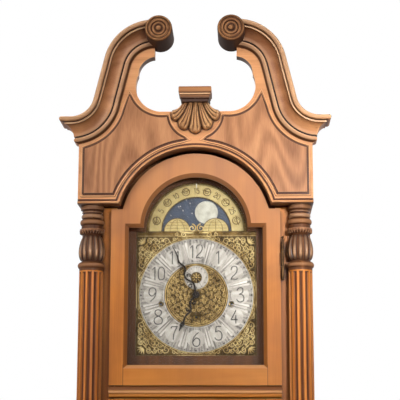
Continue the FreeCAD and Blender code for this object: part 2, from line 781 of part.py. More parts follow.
def make_frieze(scroll):
    inset = "neck_inset"
    low = f"(neck_low_radius + {inset})"
    start_z = f"{LOW_Z} - sqrt({low}^2 - (neck_low_x - frieze_half_width)^2)"
    left = [
        ("-frieze_half_width", start_z, (low, 1)), neck_low_point(inset),
        neck_high_point(inset) + ((f"neck_high_radius - {inset}", -1),),
        ("-neck_high_x", f"neck_high_z + neck_high_radius - {inset}"),
        ("-neck_high_x", "cutout_tip_z", ("cutout_high_radius", 1)),
        ("-cutout_side_x", "cutout_side_z", ("cutout_low_radius", 1)), ("-cutout_floor_x", "cutout_floor")]
    right = []
    for index in range(len(left) - 1, -1, -1):
        point = (f"-({left[index][0]})", left[index][1])
        bend = left[index - 1][2:] if index > 0 else ()
        right.append(point + tuple(bend))
    chord = "sqrt(frieze_radius^2 - (frieze_bottom - arch_z)^2)"
    foot = [("frieze_half_width", "frieze_bottom"), (chord, "frieze_bottom", ("frieze_radius", 1)),
            (f"-{chord}", "frieze_bottom"), ("-frieze_half_width", "frieze_bottom")]
    front = board("frieze", [left + right + foot], FRIEZE_BACK_Y, "frieze_thickness")
    node(cut("frieze_scroll_seats", front, scroll, mirrored("scroll_seat_right", scroll)), "frieze_board")
    side = box("frieze_side", ("-frieze_half_width", f"-{CASE_INNER_X}"), (FRIEZE_BACK_Y, "back_y"),
               ("frieze_bottom", "crown_top"))
    node(pair("frieze_returns_pair", side), "frieze_returns")
    border = "(crown_height + panel_border)"
    outer = "(frieze_radius + panel_arch_border)"
    bottom = "(frieze_bottom + panel_border * 1.8)"
    side_x = "(frieze_half_width - panel_border)"
    low_reach = f"(neck_low_radius + {border})"
    panel = board("panel", [[
        (f"-{side_x}", bottom), (f"-sqrt({outer}^2 - ({bottom} - arch_z)^2)", bottom, (outer, -1)),
        ("-panel_cusp_x", f"arch_z + sqrt({outer}^2 - panel_cusp_x^2)", ("panel_step_x", -1)),
        ("-panel_step_x", "cutout_floor - panel_border", ("panel_bay_radius", -1)),
        ("-panel_apex_x", "panel_apex_z"), neck_low_point(border) + ((low_reach, -1),),
        (f"-{side_x}", f"{LOW_Z} - sqrt({low_reach}^2 - (neck_low_x - {side_x})^2)")]],
        "frieze_front_y", "panel_relief")
    node(pair("frieze_panels_pair", panel), "frieze_panels")
    node(box("roof", (f"-{CASE_INNER_X}", CASE_INNER_X), (FRIEZE_BACK_Y, BACK_FRONT_Y),
             (f"crown_top - side_board", "crown_top")), "hood_roof")


def make_shell():
    """A fan of rounded lobes that hangs from under the pedestal cap, flat against the frieze."""
    body = new_body("shell")
    sketch = new_sketch(body, "XZ_Plane", "lobe_section")
    reach = "(shell_length - shell_lobe_radius)"
    draw(sketch, [("0", "0"), ("0", "-shell_length", ("shell_lobe_radius", 1)),
                  ("shell_lobe_radius", f"-{reach}"), ("shell_lobe_radius * 0.4", "0")])
    lobe = body.newObject("PartDesign::Revolution", "lobe")
    lobe.Profile = sketch
    lobe.ReferenceAxis = (sketch, ["V_Axis"])
    lobe.Angle = 360
    fan = body.newObject("PartDesign::PolarPattern", "lobes")
    fan.Originals = [lobe]
    fan.Axis = (sketch, ["N_Axis"])
    bind(fan, "Angle", "shell_pitch * (shell_lobes - 1)")
    bind(fan, "Occurrences", "shell_lobes")
    body.Tip = fan
    half_fan = value("shell_pitch * (shell_lobes - 1) / 2")
    place(body, "0", "frieze_front_y", "shell_z", Rotation(Vector(0, 1, 0), half_fan))
    behind = box("shell_back", ("-shell_length * 2", "shell_length * 2"),
                 ("frieze_front_y", "frieze_front_y + shell_length"),
                 ("shell_z - shell_length * 2", "shell_z + shell_length"))
    node(cut("shell_flat", body, behind), "shell_carving")


# The cap's moulding: share of its projection, share of its height, from the neck up
CAP_STEPS = [(0, 0), (0, 0.16), (0.45, 0.22), (0.45, 0.44), (0.7, 0.48), (0.7, 0.56),
             (1, 0.6), (1, 0.94), (0.8, 1)]


def make_cap():
    """A block stepped on three sides, slab, fillet and band, on a short pier on the frieze board."""
    top = "(cap_bottom + cap_height)"
    depth = "(cap_half_width - cap_neck_half_width)"
    right = []
    face = []
    for out, rise in CAP_STEPS:
        height = f"cap_bottom + cap_height * {rise}"
        right.append((f"(cap_neck_half_width + {depth} * {out})", height))
        face.append((f"cap_front_y + {depth} * (1 - {out})", height))
    left = [(f"-{x}", z) for x, z in reversed(right)]
    front = board("cap_front", [right + left], FRIEZE_BACK_Y, f"{FRIEZE_BACK_Y} - cap_front_y")
    side = run("cap_side", face + [(FRIEZE_BACK_Y, top), (FRIEZE_BACK_Y, "cap_bottom")],
               "-cap_half_width", "cap_half_width * 2")
    block = doc.addObject("Part::Common", "cap_block")
    block.Base = front
    block.Tool = side
    pier = box("cap_pier", ("-cap_neck_half_width", "cap_neck_half_width"), ("frieze_front_y", FRIEZE_BACK_Y),
               ("cutout_floor", "cap_bottom"))
    socket = rod("finial_socket", "finial_radius", "finial_depth", "0",
                 f"(cap_front_y + {FRIEZE_BACK_Y}) / 2", f"{top} - finial_depth")
    node(cut("cap_socket", fuse("cap_and_pier", block, pier), socket), "pedestal_cap")


def door_frame(name, outer, opening, rebate):
    """A glazed door frame: bevelled round its opening in front, rebated for glass behind."""
    body = board(name, [outer, opening], "door_front_y + door_thickness", "door_thickness")
    doc.recompute()
    blank = body.Tip
    front_edges = inner_edges(body, "-door_thickness")
    bevel = body.newObject("PartDesign::Chamfer", name + "_bevel")
    bevel.Base = (blank, front_edges)
    bind(bevel, "Size", "door_bevel")
    recess = new_sketch(body, "XZ_Plane", name + "_rebate_outline")
    draw(recess, rebate)
    pocket = body.newObject("PartDesign::Pocket", name + "_rebate")
    pocket.Profile = recess
    pocket.Reversed = True
    bind(pocket, "Length", "glass_rebate_depth")
    return body


def inner_edges(body, level):
    """The names of the edges round a frame's opening, on the frame's face at a level along its own Y."""
    shape = body.Tip.Shape
    target = value(level)
    face = [f for f in shape.Faces if abs(f.CenterOfMass.y - target) < 1e-4 and len(f.Wires) == 2][0]
    inner = [wire for wire in face.Wires if not wire.isSame(face.OuterWire)][0]
    names = []
    for number, edge in enumerate(shape.Edges, 1):
        if any(edge.isSame(other) for other in inner.Edges):
            names.append(f"Edge{number}")
    return names


HINGE_X = "(door_half_width + hinge_offset_x)"
HINGE_Y = "(door_front_y - hinge_offset_y)"


def hinge_parts(name, low_z):
    """One hinge: the case's two outer knuckles, leaf and pin, and the door's middle knuckle and leaf."""
    third = "(hinge_length / 3)"
    fixed = []
    for step, start in (("low", low_z), ("high", f"{low_z} + {third} * 2")):
        fixed.append(rod(f"{name}_{step}_knuckle", "knuckle_radius", third, HINGE_X, HINGE_Y, start))
        fixed.append(box(f"{name}_{step}_leaf", (HINGE_X, f"{HINGE_X} + hinge_leaf"),
                         (HINGE_Y, "post_front_y"), (start, f"{start} + {third}")))
    pin = rod(f"{name}_pin", "pin_radius", "hinge_length + knuckle_radius * 2", HINGE_X, HINGE_Y,
              f"{low_z} - knuckle_radius")
    tips = []
    levels = (("low", f"{low_z} - knuckle_radius"), ("high", f"{low_z} + hinge_length + knuckle_radius"))
    for step, level in levels:
        tip = doc.addObject("Part::Sphere", f"{name}_{step}_tip")
        bind(tip, "Radius", "knuckle_radius * 0.95")
        tips.append(place(tip, HINGE_X, HINGE_Y, level))
    case_side = fuse(f"{name}_case_side", *fixed, pin, *tips)
    start = f"{low_z} + {third} + end_clearance"
    length = f"{third} - end_clearance * 2"
    barrel = rod(f"{name}_barrel", "knuckle_radius", length, HINGE_X, HINGE_Y, start)
    leaf = box(f"{name}_door_leaf", ("door_half_width", "door_half_width + hinge_leaf"),
               (HINGE_Y, "door_front_y + door_thickness * 0.8"), (start, f"{start} + {length}"))
    bore = rod(f"{name}_bore", "pin_radius + running_clearance", length, HINGE_X, HINGE_Y, start)
    door_side = cut(f"{name}_door_side", fuse(f"{name}_door_leaf_barrel", barrel, leaf), bore)
    return case_side, door_side


def make_doors():
    bottom = f"({LEDGE_TOP} + door_gap)"
    edge = "glass_rebate"
    rebate = arched_loop(f"hood_glass_half_width + {edge}", f"hood_glass_bottom - {edge}",
                         f"hood_glass_shoulder + {edge}", f"hood_glass_radius + {edge}")
    outline = arched_loop("door_half_width", bottom, "hood_door_shoulder", "hood_door_radius")
    opening = arched_loop("hood_glass_half_width", "hood_glass_bottom", "hood_glass_shoulder",
                          "hood_glass_radius")
    node(door_frame("hood_door", outline, opening, rebate), "hood_door_frame")
    pane = "(glass_rebate - glass_clearance)"
    glass_y = "door_front_y + door_thickness - glass_rebate_depth + glass_thickness"
    node(board("hood_pane", [arched_loop(f"hood_glass_half_width + {pane}", f"hood_glass_bottom - {pane}",
                                         f"hood_glass_shoulder + {pane}", f"hood_glass_radius + {pane}")],
               glass_y, "glass_thickness"), "hood_door_glass")
    low = f"({TRUNK_BOTTOM} + door_gap)"
    high = "(ledge_bottom - door_gap)"
    half = "(door_half_width - trunk_stile)"
    node(door_frame("trunk_door", square_loop("door_half_width", low, high),
                    square_loop(half, f"{low} + trunk_rail", f"{high} - trunk_rail"),
                    square_loop(f"{half} + {edge}", f"{low} + trunk_rail - {edge}",
                                f"{high} - trunk_rail + {edge}")), "trunk_door_frame")
    node(board("trunk_pane", [square_loop(f"{half} + {pane}", f"{low} + trunk_rail - {pane}",
                                          f"{high} - trunk_rail + {pane}")], glass_y, "glass_thickness"),
         "trunk_door_glass")
    wide = "knob_radius"
    long = "knob_length"
    node(turned("knob", [
        ("0", "0"), (f"{wide} * 1.12", "0"), (f"{wide} * 1.12", f"{long} * 0.08"),
        (f"{wide} * 0.5", f"{long} * 0.19"), (f"{wide} * 0.5", f"{long} * 0.38"),
        (wide, f"{long} * 0.54", (wide, 1)), (f"{wide} * 0.25", long), ("0", long)],
        "trunk_stile / 2 - door_half_width", "door_front_y", f"({low} + {high}) / 2", TO_FRONT),
        "trunk_door_knob")
    fixed = []
    hood_fixed, hood_moving = hinge_parts("hood_hinge", "hood_hinge_z")
    fixed.append(hood_fixed)
    node(hood_moving, "hood_door_hinge")
    moving = []
    for step, level in (("low", "trunk_hinge_low_z"), ("high", "trunk_hinge_high_z")):
        case_side, door_side = hinge_parts(f"trunk_{step}_hinge", level)
        fixed.append(case_side)
        moving.append(door_side)
    node(group("trunk_hinge_leaves", *moving), "trunk_door_hinges")
    node(group("hinge_pins_group", *fixed), "hinge_pins")


def make_dial():
    mask_half = "(dial_half_width - mask_overlap)"
    node(board("mask", [
        square_loop("case_half_width - side_board", LEDGE_TOP, "frieze_bottom + crown_height * 2"),
        arched_loop(mask_half, "dial_bottom + mask_overlap", "dial_top - mask_overlap",
                    "dial_arch_radius - mask_overlap")], "dial_front_y", "mask_thickness"), "dial_mask")
    inner = "lunar_inner_radius"
    hump = ("hump_radius", -1)
    aperture = [
        (inner, "arch_z", (inner, 1)), ("0", f"arch_z + {inner}", (inner, 1)), (f"-{inner}", "arch_z"),
        ("-hump_x - hump_radius", "arch_z", hump), ("-hump_x", "arch_z + hump_radius", hump),
        ("hump_radius - hump_x", "arch_z"), ("hump_x - hump_radius", "arch_z", hump),
        ("hump_x", "arch_z + hump_radius", hump), ("hump_x + hump_radius", "arch_z")]
    winding = [("-winding_x", "dial_z - winding_drop", "winding_hole"),
               ("winding_x", "dial_z - winding_drop", "winding_hole"),
               ("0", "dial_z - strike_drop", "winding_hole")]
    arbors = [("0", "dial_z", "pipe_radius + arbor_play"), ("0", SECONDS_Z, "arbor_radius + arbor_play")]
    outline = arched_loop("dial_half_width", "dial_bottom", "dial_top", "dial_arch_radius")
    node(board("plate", [outline, aperture], DIAL_BACK_Y, "dial_thickness", winding + arbors), "dial_plate")
    ring = [("0", "dial_z", "chapter_radius"), ("0", "dial_z", "centre_radius + ring_play")]
    node(board("chapter", [], "dial_front_y", "chapter_thickness", ring + winding[:2]), "chapter_ring")
    node(board("centre_disc", [], "dial_front_y", "applique_thickness",
               [("0", "dial_z", "centre_radius")] + arbors + winding[2:]), "dial_centre")
    small_ring = [("0", SECONDS_Z, "seconds_radius"), ("0", SECONDS_Z, "seconds_inner_radius")]
    node(board("seconds", [], "dial_front_y - applique_thickness", "applique_thickness", small_ring),
         "seconds_ring")
    node(board("lunar", [[
        ("lunar_radius", "arch_z", ("lunar_radius", 1)), ("0", "arch_z + lunar_radius", ("lunar_radius", 1)),
        ("-lunar_radius", "arch_z"), (f"-{inner}", "arch_z", (inner, -1)),
        ("0", f"arch_z + {inner}", (inner, -1)), (inner, "arch_z")]],
        "dial_front_y", "applique_thickness"), "lunar_arch")
    edge = "(dial_half_width - mask_overlap * 1.4)"
    rise = "(dial_z - dial_bottom - mask_overlap * 1.4)"
    reach = "(chapter_radius + spandrel_gap)"
    near = f"sqrt({reach}^2 - {edge}^2)"
    corner = "chapter_radius * 0.34"
    spandrels = []
    for side in ("-", ""):
        for level in ("-", ""):
            turn = 1 if side == level else -1
            spandrels.append([
                (f"{side}({edge})", f"dial_z {level or '+'} ({near})", (reach, turn)),
                (f"{side}({corner})", f"dial_z {level or '+'} sqrt({reach}^2 - ({corner})^2)"),
                (f"{side}({corner})", f"dial_z {level or '+'} ({rise})"),
                (f"{side}({edge})", f"dial_z {level or '+'} ({rise})")])
    node(board("spandrels", spandrels, "dial_front_y", "applique_thickness"), "corner_spandrels")


def gear(name, teeth, pitch_radius, module, back_y, thickness, bore, phase):
    """A wheel whose teeth taper to their tips, shallow and narrow enough to run with play."""
    body = new_body(name)
    root = f"({pitch_radius} - {module})"
    sketch = new_sketch(body, "XZ_Plane", name + "_disc")
    draw_circle(sketch, "0", "0", root)
    draw_circle(sketch, "0", "0", bore)
    pad(body, sketch, thickness, name + "_pad")
    mark = new_sketch(body, "XZ_Plane", name + "_tooth")
    tip = f"({pitch_radius} + {module} * 0.7)"
    foot = f"({root} - {module} * 0.3)"
    draw(mark, [(foot, f"-{module} * 0.75"), (tip, f"-{module} * 0.32"), (tip, f"{module} * 0.32"),
                (foot, f"{module} * 0.75")])
    tooth = pad(body, mark, thickness, name + "_tooth_pad")
    ring = body.newObject("PartDesign::PolarPattern", name + "_teeth")
    ring.Originals = [tooth]
    ring.Axis = (mark, ["N_Axis"])
    ring.Angle = 360
    ring.Occurrences = teeth
    body.Tip = ring
    return place(body, "0", back_y, "0", Rotation(Vector(0, 1, 0), phase))


CANNON_TEETH = 16
MINUTE_TEETH = 48
PINION_TEETH = 12
HOUR_TEETH = 48
ESCAPE_TEETH = 30


def make_motion_work():
    """The wheels that carry the hands, between the dial and the front plate."""
    cannon_pitch = f"motion_distance * {CANNON_TEETH} / {CANNON_TEETH + MINUTE_TEETH}"
    minute_pitch = f"motion_distance * {MINUTE_TEETH} / {CANNON_TEETH + MINUTE_TEETH}"
    cannon_module = f"(motion_distance * 2 / {CANNON_TEETH + MINUTE_TEETH})"
    pinion_pitch = f"motion_distance * {PINION_TEETH} / {PINION_TEETH + HOUR_TEETH}"
    hour_pitch = f"motion_distance * {HOUR_TEETH} / {PINION_TEETH + HOUR_TEETH}"
    hour_module = f"(motion_distance * 2 / {PINION_TEETH + HOUR_TEETH})"
    low_y = "(front_plate_y - cannon_gap)"
    wheel_y = f"({low_y} - minute_wheel_gap)"
    high_y = "(front_plate_y - hour_wheel_gap)"
    minute_y = "(dial_front_y - minute_hand_lift)"
    hour_y = "(dial_front_y - hour_hand_lift)"
    cannon = gear("cannon", CANNON_TEETH, cannon_pitch, cannon_module, low_y,
                  "wheel_thickness + minute_wheel_gap * 2", "arbor_radius", 0)
    place(cannon, "0", low_y, "dial_z")
    arbor = rod("centre_bar", "arbor_radius", f"{PLATES_BACK_Y} - dial_front_y + arbor_reach", "0",
                PLATES_BACK_Y, "dial_z", TO_FRONT)
    node(fuse("centre_arbor_fuse", arbor, cannon), "centre_arbor")
    half_minute = 180 / MINUTE_TEETH
    wheel = gear("minute_disc", MINUTE_TEETH, minute_pitch, cannon_module, low_y, "wheel_thickness",
                 "arbor_radius + running_clearance", half_minute)
    place(wheel, "-motion_distance", wheel_y, "dial_z")
    pinion = gear("pinion", PINION_TEETH, pinion_pitch, hour_module, low_y, "pinion_length",
                  "arbor_radius + running_clearance", 0)
    place(pinion, "-motion_distance", f"{wheel_y} - wheel_thickness", "dial_z")
    node(fuse("minute_wheel_fuse", wheel, pinion), "minute_wheel")
    hour_disc = gear("hour_disc", HOUR_TEETH, hour_pitch, hour_module, high_y, "wheel_thickness",
                     "arbor_radius + running_clearance", 180 / HOUR_TEETH)
    place(hour_disc, "0", high_y, "dial_z")
    pipe = cut("pipe_bored",
               rod("pipe", "pipe_radius", f"{high_y} - {hour_y}", "0", high_y, "dial_z", TO_FRONT),
               rod("pipe_bore", "arbor_radius + running_clearance", f"{high_y} - {hour_y}", "0", high_y,
                   "dial_z", TO_FRONT))
    node(fuse("hour_wheel_fuse", hour_disc, pipe), "hour_wheel")
    make_hands(hour_y, minute_y)


def hand(name, bore, length, width, back_y, turn, boss):
    """A serpentine hand: a boss, a waisted stem, a leaf and a fine point, drawn upwards and then turned."""
    body = new_body(name)
    sketch = new_sketch(body, "XZ_Plane", name + "_outline")
    draw_circle(sketch, "0", "0", boss)
    draw_circle(sketch, "0", "0", bore)
    pad(body, sketch, "hand_thickness", name + "_boss")
    blade = new_sketch(body, "XZ_Plane", name + "_blade_outline")
    root = f"({boss}) * 0.8"
    draw(blade, [
        (f"-({width}) * 0.25", root), (f"({width}) * 0.25", root), (f"({width}) * 0.3", f"({length}) * 0.3"),
        (f"({width})", f"({length}) * 0.42", (f"({length}) * 0.3", 1)),
        (f"({width}) * 0.25", f"({length}) * 0.62"), (f"({width}) * 0.1", length),
        (f"-({width}) * 0.1", length), (f"-({width}) * 0.25", f"({length}) * 0.62", (f"({length}) * 0.3", 1)),
        (f"-({width})", f"({length}) * 0.42"), (f"-({width}) * 0.3", f"({length}) * 0.3")])
    pad(body, blade, "hand_thickness", name + "_blade")
    return place(body, "0", back_y, "dial_z", Rotation(Vector(0, 1, 0), turn))


MINUTE_TURN = 334
HOUR_TURN = 205
SECONDS_TURN = 150


def make_hands(hour_y, minute_y):
    node(hand("long_hand", "arbor_radius", "minute_hand_length", "minute_hand_width",
              f"{minute_y} + hand_thickness", MINUTE_TURN, "pipe_radius + hand_boss"), "minute_hand")
    node(hand("short_hand", "arbor_radius + running_clearance", "hour_hand_length", "hour_hand_width",
              hour_y, HOUR_TURN, "pipe_radius + hand_boss * 1.5"), "hour_hand")
    seconds_y = "dial_front_y - seconds_hand_lift"
    small = hand("small_hand", "pivot_radius", "seconds_hand_length", "seconds_hand_width", seconds_y,
                 SECONDS_TURN, "seconds_boss")
    place(small, "0", seconds_y, SECONDS_Z)
    node(small, "seconds_hand")


def make_frame():
    """The movement's two plates, its pillars and studs, on a seat board across the case."""
    bottom = "plate_bottom"
    small_bore = "pivot_radius + running_clearance"
    bore = "arbor_radius + running_clearance"
    pivots = [("0", "dial_z", bore), ("0", SECONDS_Z, small_bore), ("0", ANCHOR_Z, small_bore)]
    drums = [("-winding_x", "dial_z - winding_drop", bore), ("winding_x", "dial_z - winding_drop", bore),
             ("0", "dial_z - strike_drop", bore)]
    plates = []
    for name, back, top in (("front_plate", "front_plate_y + plate_thickness", "plate_top"),
                            ("back_plate", PLATES_BACK_Y, f"{ANCHOR_Z} + anchor_cover")):
        outline = square_loop("plate_half_width", bottom, top)
        plates.append(board(name + "_sheet", [outline], back, "plate_thickness", pivots + drums))
    pillars = []
    for side, sign in (("left", "-"), ("right", "")):
        for step, level in (("low", f"{bottom} + pillar_low"), ("high", f"{ANCHOR_Z} + pillar_high")):
            pillars.append(rod(f"pillar_{side}_{step}", "pillar_radius", "plate_spacing - plate_thickness",
                               f"{sign}(plate_half_width - pillar_radius * 1.2)",
                               "front_plate_y + plate_thickness", level, TO_BACK))
    moon_stud = rod("moon_stud", "arbor_radius", f"front_plate_y - {DIAL_BACK_Y} - moon_gap", "0",
                    "front_plate_y", "arch_z", TO_FRONT)
    wheel_stud = rod("wheel_stud", "arbor_radius", "stud_length", "-motion_distance", "front_plate_y",
                     "dial_z", TO_FRONT)
    near = "(pendulum_y + bracket_gap)"
    far = f"({near} + bracket_thickness)"
    across = ("-bracket_half_width", "bracket_half_width")
    high = f"{ANCHOR_Z} + pillar_high"
    arm = box("bracket_arm", across, (PLATES_BACK_Y, far), (f"{ANCHOR_Z} + bracket_low", high))
    drop = box("bracket_drop", across, (near, far), (f"{ANCHOR_Z} - bracket_half_width", high))
    stud = rod("pendulum_stud", "arbor_radius", "bracket_gap + rod_thickness * 2", "0", near, ANCHOR_Z,
               TO_FRONT)
    node(fuse("front_plate_studs", plates[0], moon_stud, wheel_stud), "front_plate")
    node(fuse("back_plate_bracket", plates[1], arm, drop, stud), "back_plate")
    node(group("pillar_group", *pillars), "plate_pillars")
    under = f"{bottom} - seat_thickness"
    seat = box("seat", (f"-{CASE_INNER_X}", CASE_INNER_X),
               ("front_plate_y - seat_front", "back_plate_y + seat_behind"), (under, bottom))
    slots = [rod(f"cable_slot_{name}", "cable_slot", "seat_thickness", x, "weight_y", under)
             for name, x in zip(WEIGHT_NAMES, WEIGHT_X)]
    node(cut("seat_slots", seat, *slots), "seat_board")


WEIGHT_X = ("-winding_x - drum_radius", "drum_radius", "winding_x + drum_radius")
WEIGHT_NAMES = ("left", "centre", "right")
DRUM_X = ("-winding_x", "0", "winding_x")
DRUM_Z = ("dial_z - winding_drop", "dial_z - strike_drop", "dial_z - winding_drop")


def make_train():
    """Escape wheel and anchor between the plates, the moon disc, drums, weights and pendulum."""
    wheel = new_body("escape_disc")
    sketch = new_sketch(wheel, "XZ_Plane", "escape_outline")
    draw_circle(sketch, "0", "0", "escape_radius - escape_tooth")
    pad(wheel, sketch, "wheel_thickness", "escape_pad")
    mark = new_sketch(wheel, "XZ_Plane", "escape_tooth_outline")
    foot = "(escape_radius - escape_tooth * 1.2)"
    draw(mark, [(foot, "-escape_tooth * 0.28"), ("escape_radius", "0"),
                ("escape_radius", "escape_tooth * 0.1"), (foot, "escape_tooth * 0.28")])
    tooth = pad(wheel, mark, "wheel_thickness", "escape_tooth_pad")
    ring = wheel.newObject("PartDesign::PolarPattern", "escape_teeth")
    ring.Originals = [tooth]
    ring.Axis = (mark, ["N_Axis"])
    ring.Angle = 360
    ring.Occurrences = ESCAPE_TEETH
    wheel.Tip = ring
    place(wheel, "0", "wheel_thickness", SECONDS_Z)
    bar = rod("seconds_bar", "pivot_radius", f"{PLATES_BACK_Y} - dial_front_y + seconds_reach", "0",
              PLATES_BACK_Y, SECONDS_Z, TO_FRONT)
    node(fuse("escape_wheel_fuse", wheel, bar), "escape_wheel")
    make_anchor()
    bore = "arbor_radius + running_clearance"
    rear = "(moon_hub_length + moon_thickness)"
    disc = turned("moon", [
        (bore, "0"), ("moon_hub_radius", "0"), ("moon_hub_radius", "moon_hub_length"),
        ("moon_disc_radius", "moon_hub_length"), ("moon_disc_radius", rear), (bore, rear)],
        "0", f"{DIAL_BACK_Y} + {rear} + moon_gap", "arch_z", TO_FRONT)
    node(disc, "moon_disc")
    for name, x, z, weight_x in zip(WEIGHT_NAMES, DRUM_X, DRUM_Z, WEIGHT_X):
        make_drum(name, x, z)
        make_weight(name, weight_x)
    cable_z = "(weight_top + hook_length + cable_gap)"
    cables = []
    for name, x, drum_x, z in zip(WEIGHT_NAMES, WEIGHT_X, DRUM_X, DRUM_Z):
        cable = rod(f"{name}_cable", "cable_radius", f"{z} - {cable_z}", x, "weight_y", cable_z)
        clear = rod(f"{name}_cable_clear", "drum_radius + cable_gap", "drum_length", drum_x,
                    "weight_y - drum_length / 2", z, TO_BACK)
        cables.append(cut(f"{name}_cable_end", cable, clear))
    node(group("cable_group", *cables), "weight_cables")
    make_pendulum()


def make_drum(name, x, z):
    """A flanged drum on its winding arbor."""
    length = "drum_length"
    rim = "drum_flange_radius"
    drum = turned(f"{name}_barrel", [
        ("0", "0"), (rim, "0"), (rim, "drum_flange"), ("drum_radius", "drum_flange"),
        ("drum_radius", f"{length} - drum_flange"), (rim, f"{length} - drum_flange"), (rim, length),
        ("0", length)], x, "weight_y - drum_length / 2", z, TO_BACK)
    spindle = rod(f"{name}_spindle", "arbor_radius", f"{PLATES_BACK_Y} - dial_front_y + winding_reach", x,
                  PLATES_BACK_Y, z, TO_FRONT)
    node(fuse(f"{name}_drum_fuse", drum, spindle), f"{name}_drum")


def make_weight(name, x):
    """A weight with rounded ends and a hook for its cable."""
    shoulder = "(weight_radius - hook_radius)"
    neck = "weight_cap * 0.64"
    shell = turned(f"{name}_shell", [
        ("0", "0"), ("weight_cap * 0.43", "0"), (neck, "weight_cap * 0.43", (neck, 1)),
        (shoulder, "weight_cap * 0.86"), ("weight_radius", "weight_cap"),
        ("weight_radius", "weight_length - weight_cap"),
        (shoulder, "weight_length - weight_cap * 0.86"), (neck, "weight_length - weight_cap * 0.43"),
        ("hook_radius", "weight_length"), ("hook_radius", "weight_length + hook_length"),
        ("0", "weight_length + hook_length")], x, "weight_y", "weight_top - weight_length")
    node(shell, f"{name}_weight")


def make_anchor():
    """Two pallet arms over the escape wheel on an arbor, with a crutch behind the back plate."""
    span = "anchor_span"
    toe = f"({span} - pallet_width)"
    heel = f"({span} - pallet_width * 2)"
    arms = board("anchor_arms", [[
        (f"-{span}", f"-{span}"), (f"-{toe}", f"-{span}"),
        (f"-{heel}", f"-{span} * 0.45", (f"{span} * 0.73", -1)),
        (heel, f"-{span} * 0.45"), (toe, f"-{span}"), (span, f"-{span}"),
        (f"{span} * 0.9", f"-{span} * 0.18", (f"{span} * 1.18", 1)), (f"-{span} * 0.9", f"-{span} * 0.18")]],
        "wheel_thickness", "wheel_thickness")
    place(arms, "0", "wheel_thickness", ANCHOR_Z)
    hub = rod("anchor_hub", "anchor_hub_radius", "wheel_thickness", "0", "wheel_thickness", ANCHOR_Z,
              TO_FRONT)
    crutch_y = "(back_plate_y + crutch_gap)"
    behind_y = f"({crutch_y} + rod_thickness)"
    bar = rod("anchor_bar", "pivot_radius", f"{behind_y} - front_plate_y", "0", behind_y, ANCHOR_Z, TO_FRONT)
    crutch = box("crutch", ("-crutch_width / 2", "crutch_width / 2"), (crutch_y, behind_y),
                 (f"{ANCHOR_Z} - crutch_length", f"{ANCHOR_Z} + crutch_width"))
    inner = "(rod_width / 2 + fork_play)"
    outer = "(rod_width / 2 + rod_thickness)"
    level = (f"{ANCHOR_Z} - crutch_length - fork_height / 2", f"{ANCHOR_Z} - crutch_length + fork_height / 2")
    fork = [box(f"fork_{name}", reach, (crutch_y, "pendulum_y + rod_thickness"), level)
            for name, reach in (("left", (f"-{outer}", f"-{inner}")), ("right", (inner, outer)))]
    bridge = box("fork_bridge", (f"-{outer}", outer), (crutch_y, behind_y), level)
    node(fuse("anchor_fuse", arms, hub, bar, crutch, bridge, *fork), "anchor")


def make_pendulum():
    bob_z = f"({ANCHOR_Z} - pendulum_length)"
    thick = ("pendulum_y - rod_thickness / 2", "pendulum_y + rod_thickness / 2")
    wide = ("-rod_width / 2", "rod_width / 2")
    end_z = f"({bob_z} - bob_radius - rod_end)"
    eye = rod("eye", "rod_width", "rod_thickness", "0", thick[0], ANCHOR_Z, TO_BACK)
    bore = rod("eye_bore", "arbor_radius + running_clearance", "rod_thickness", "0", thick[0], ANCHOR_Z,
               TO_BACK)
    bar = box("bar", wide, thick, (end_z, ANCHOR_Z))
    nut = rod("nut", "rod_width", "nut_length", "0", "pendulum_y", f"{end_z} + nut_length * 0.4")
    node(cut("rod_bored", fuse("rod_fuse", eye, bar, nut), bore), "pendulum_rod")
    lens = turned("lens", [
        ("0", "-bob_thickness / 2"), ("bob_flat_radius", "-bob_thickness / 2", ("bob_radius * 3.4", 1)),
        ("bob_radius", "-bob_thickness * 0.16"),
        ("bob_radius", "bob_thickness * 0.16", ("bob_radius * 3.4", 1)),
        ("bob_flat_radius", "bob_thickness / 2"), ("0", "bob_thickness / 2")],
        "0", "pendulum_y", bob_z, TO_FRONT)
    slot = box("bob_slot", wide, thick, (f"{bob_z} - bob_radius * 2", f"{bob_z} + bob_radius * 2"))
    node(cut("bob_slotted", lens, slot), "pendulum_bob")


def check_document():
    """Stops if any object failed, or if a sub-part has no valid solid."""
    doc.recompute()
    for item in doc.Objects:
        if "Invalid" in item.State or "Error" in item.State:
            raise RuntimeError(f"{item.Name} failed: {item.State}")
    for item in nodes:
        if item.Shape.isNull() or not item.Shape.isValid() or not item.Shape.Solids:
            raise RuntimeError(f"{item.Label} has no valid solid")


make_base(make_carcase())
make_columns()
make_pediment()
make_shell()
make_cap()
make_doors()
make_dial()
make_motion_work()
make_frame()
make_train()
check_document()

os.makedirs("parts", exist_ok=True)
for item in nodes:
    item.Shape.exportStep(f"parts/{item.Label}.step")
print(f"{len(nodes)} sub-parts written")
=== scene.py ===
"""Looks of the longcase clock: finishes, carving, dial work, hands and cables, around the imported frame."""
import math
import random

import bmesh
import bpy
from mathutils import Matrix, Vector


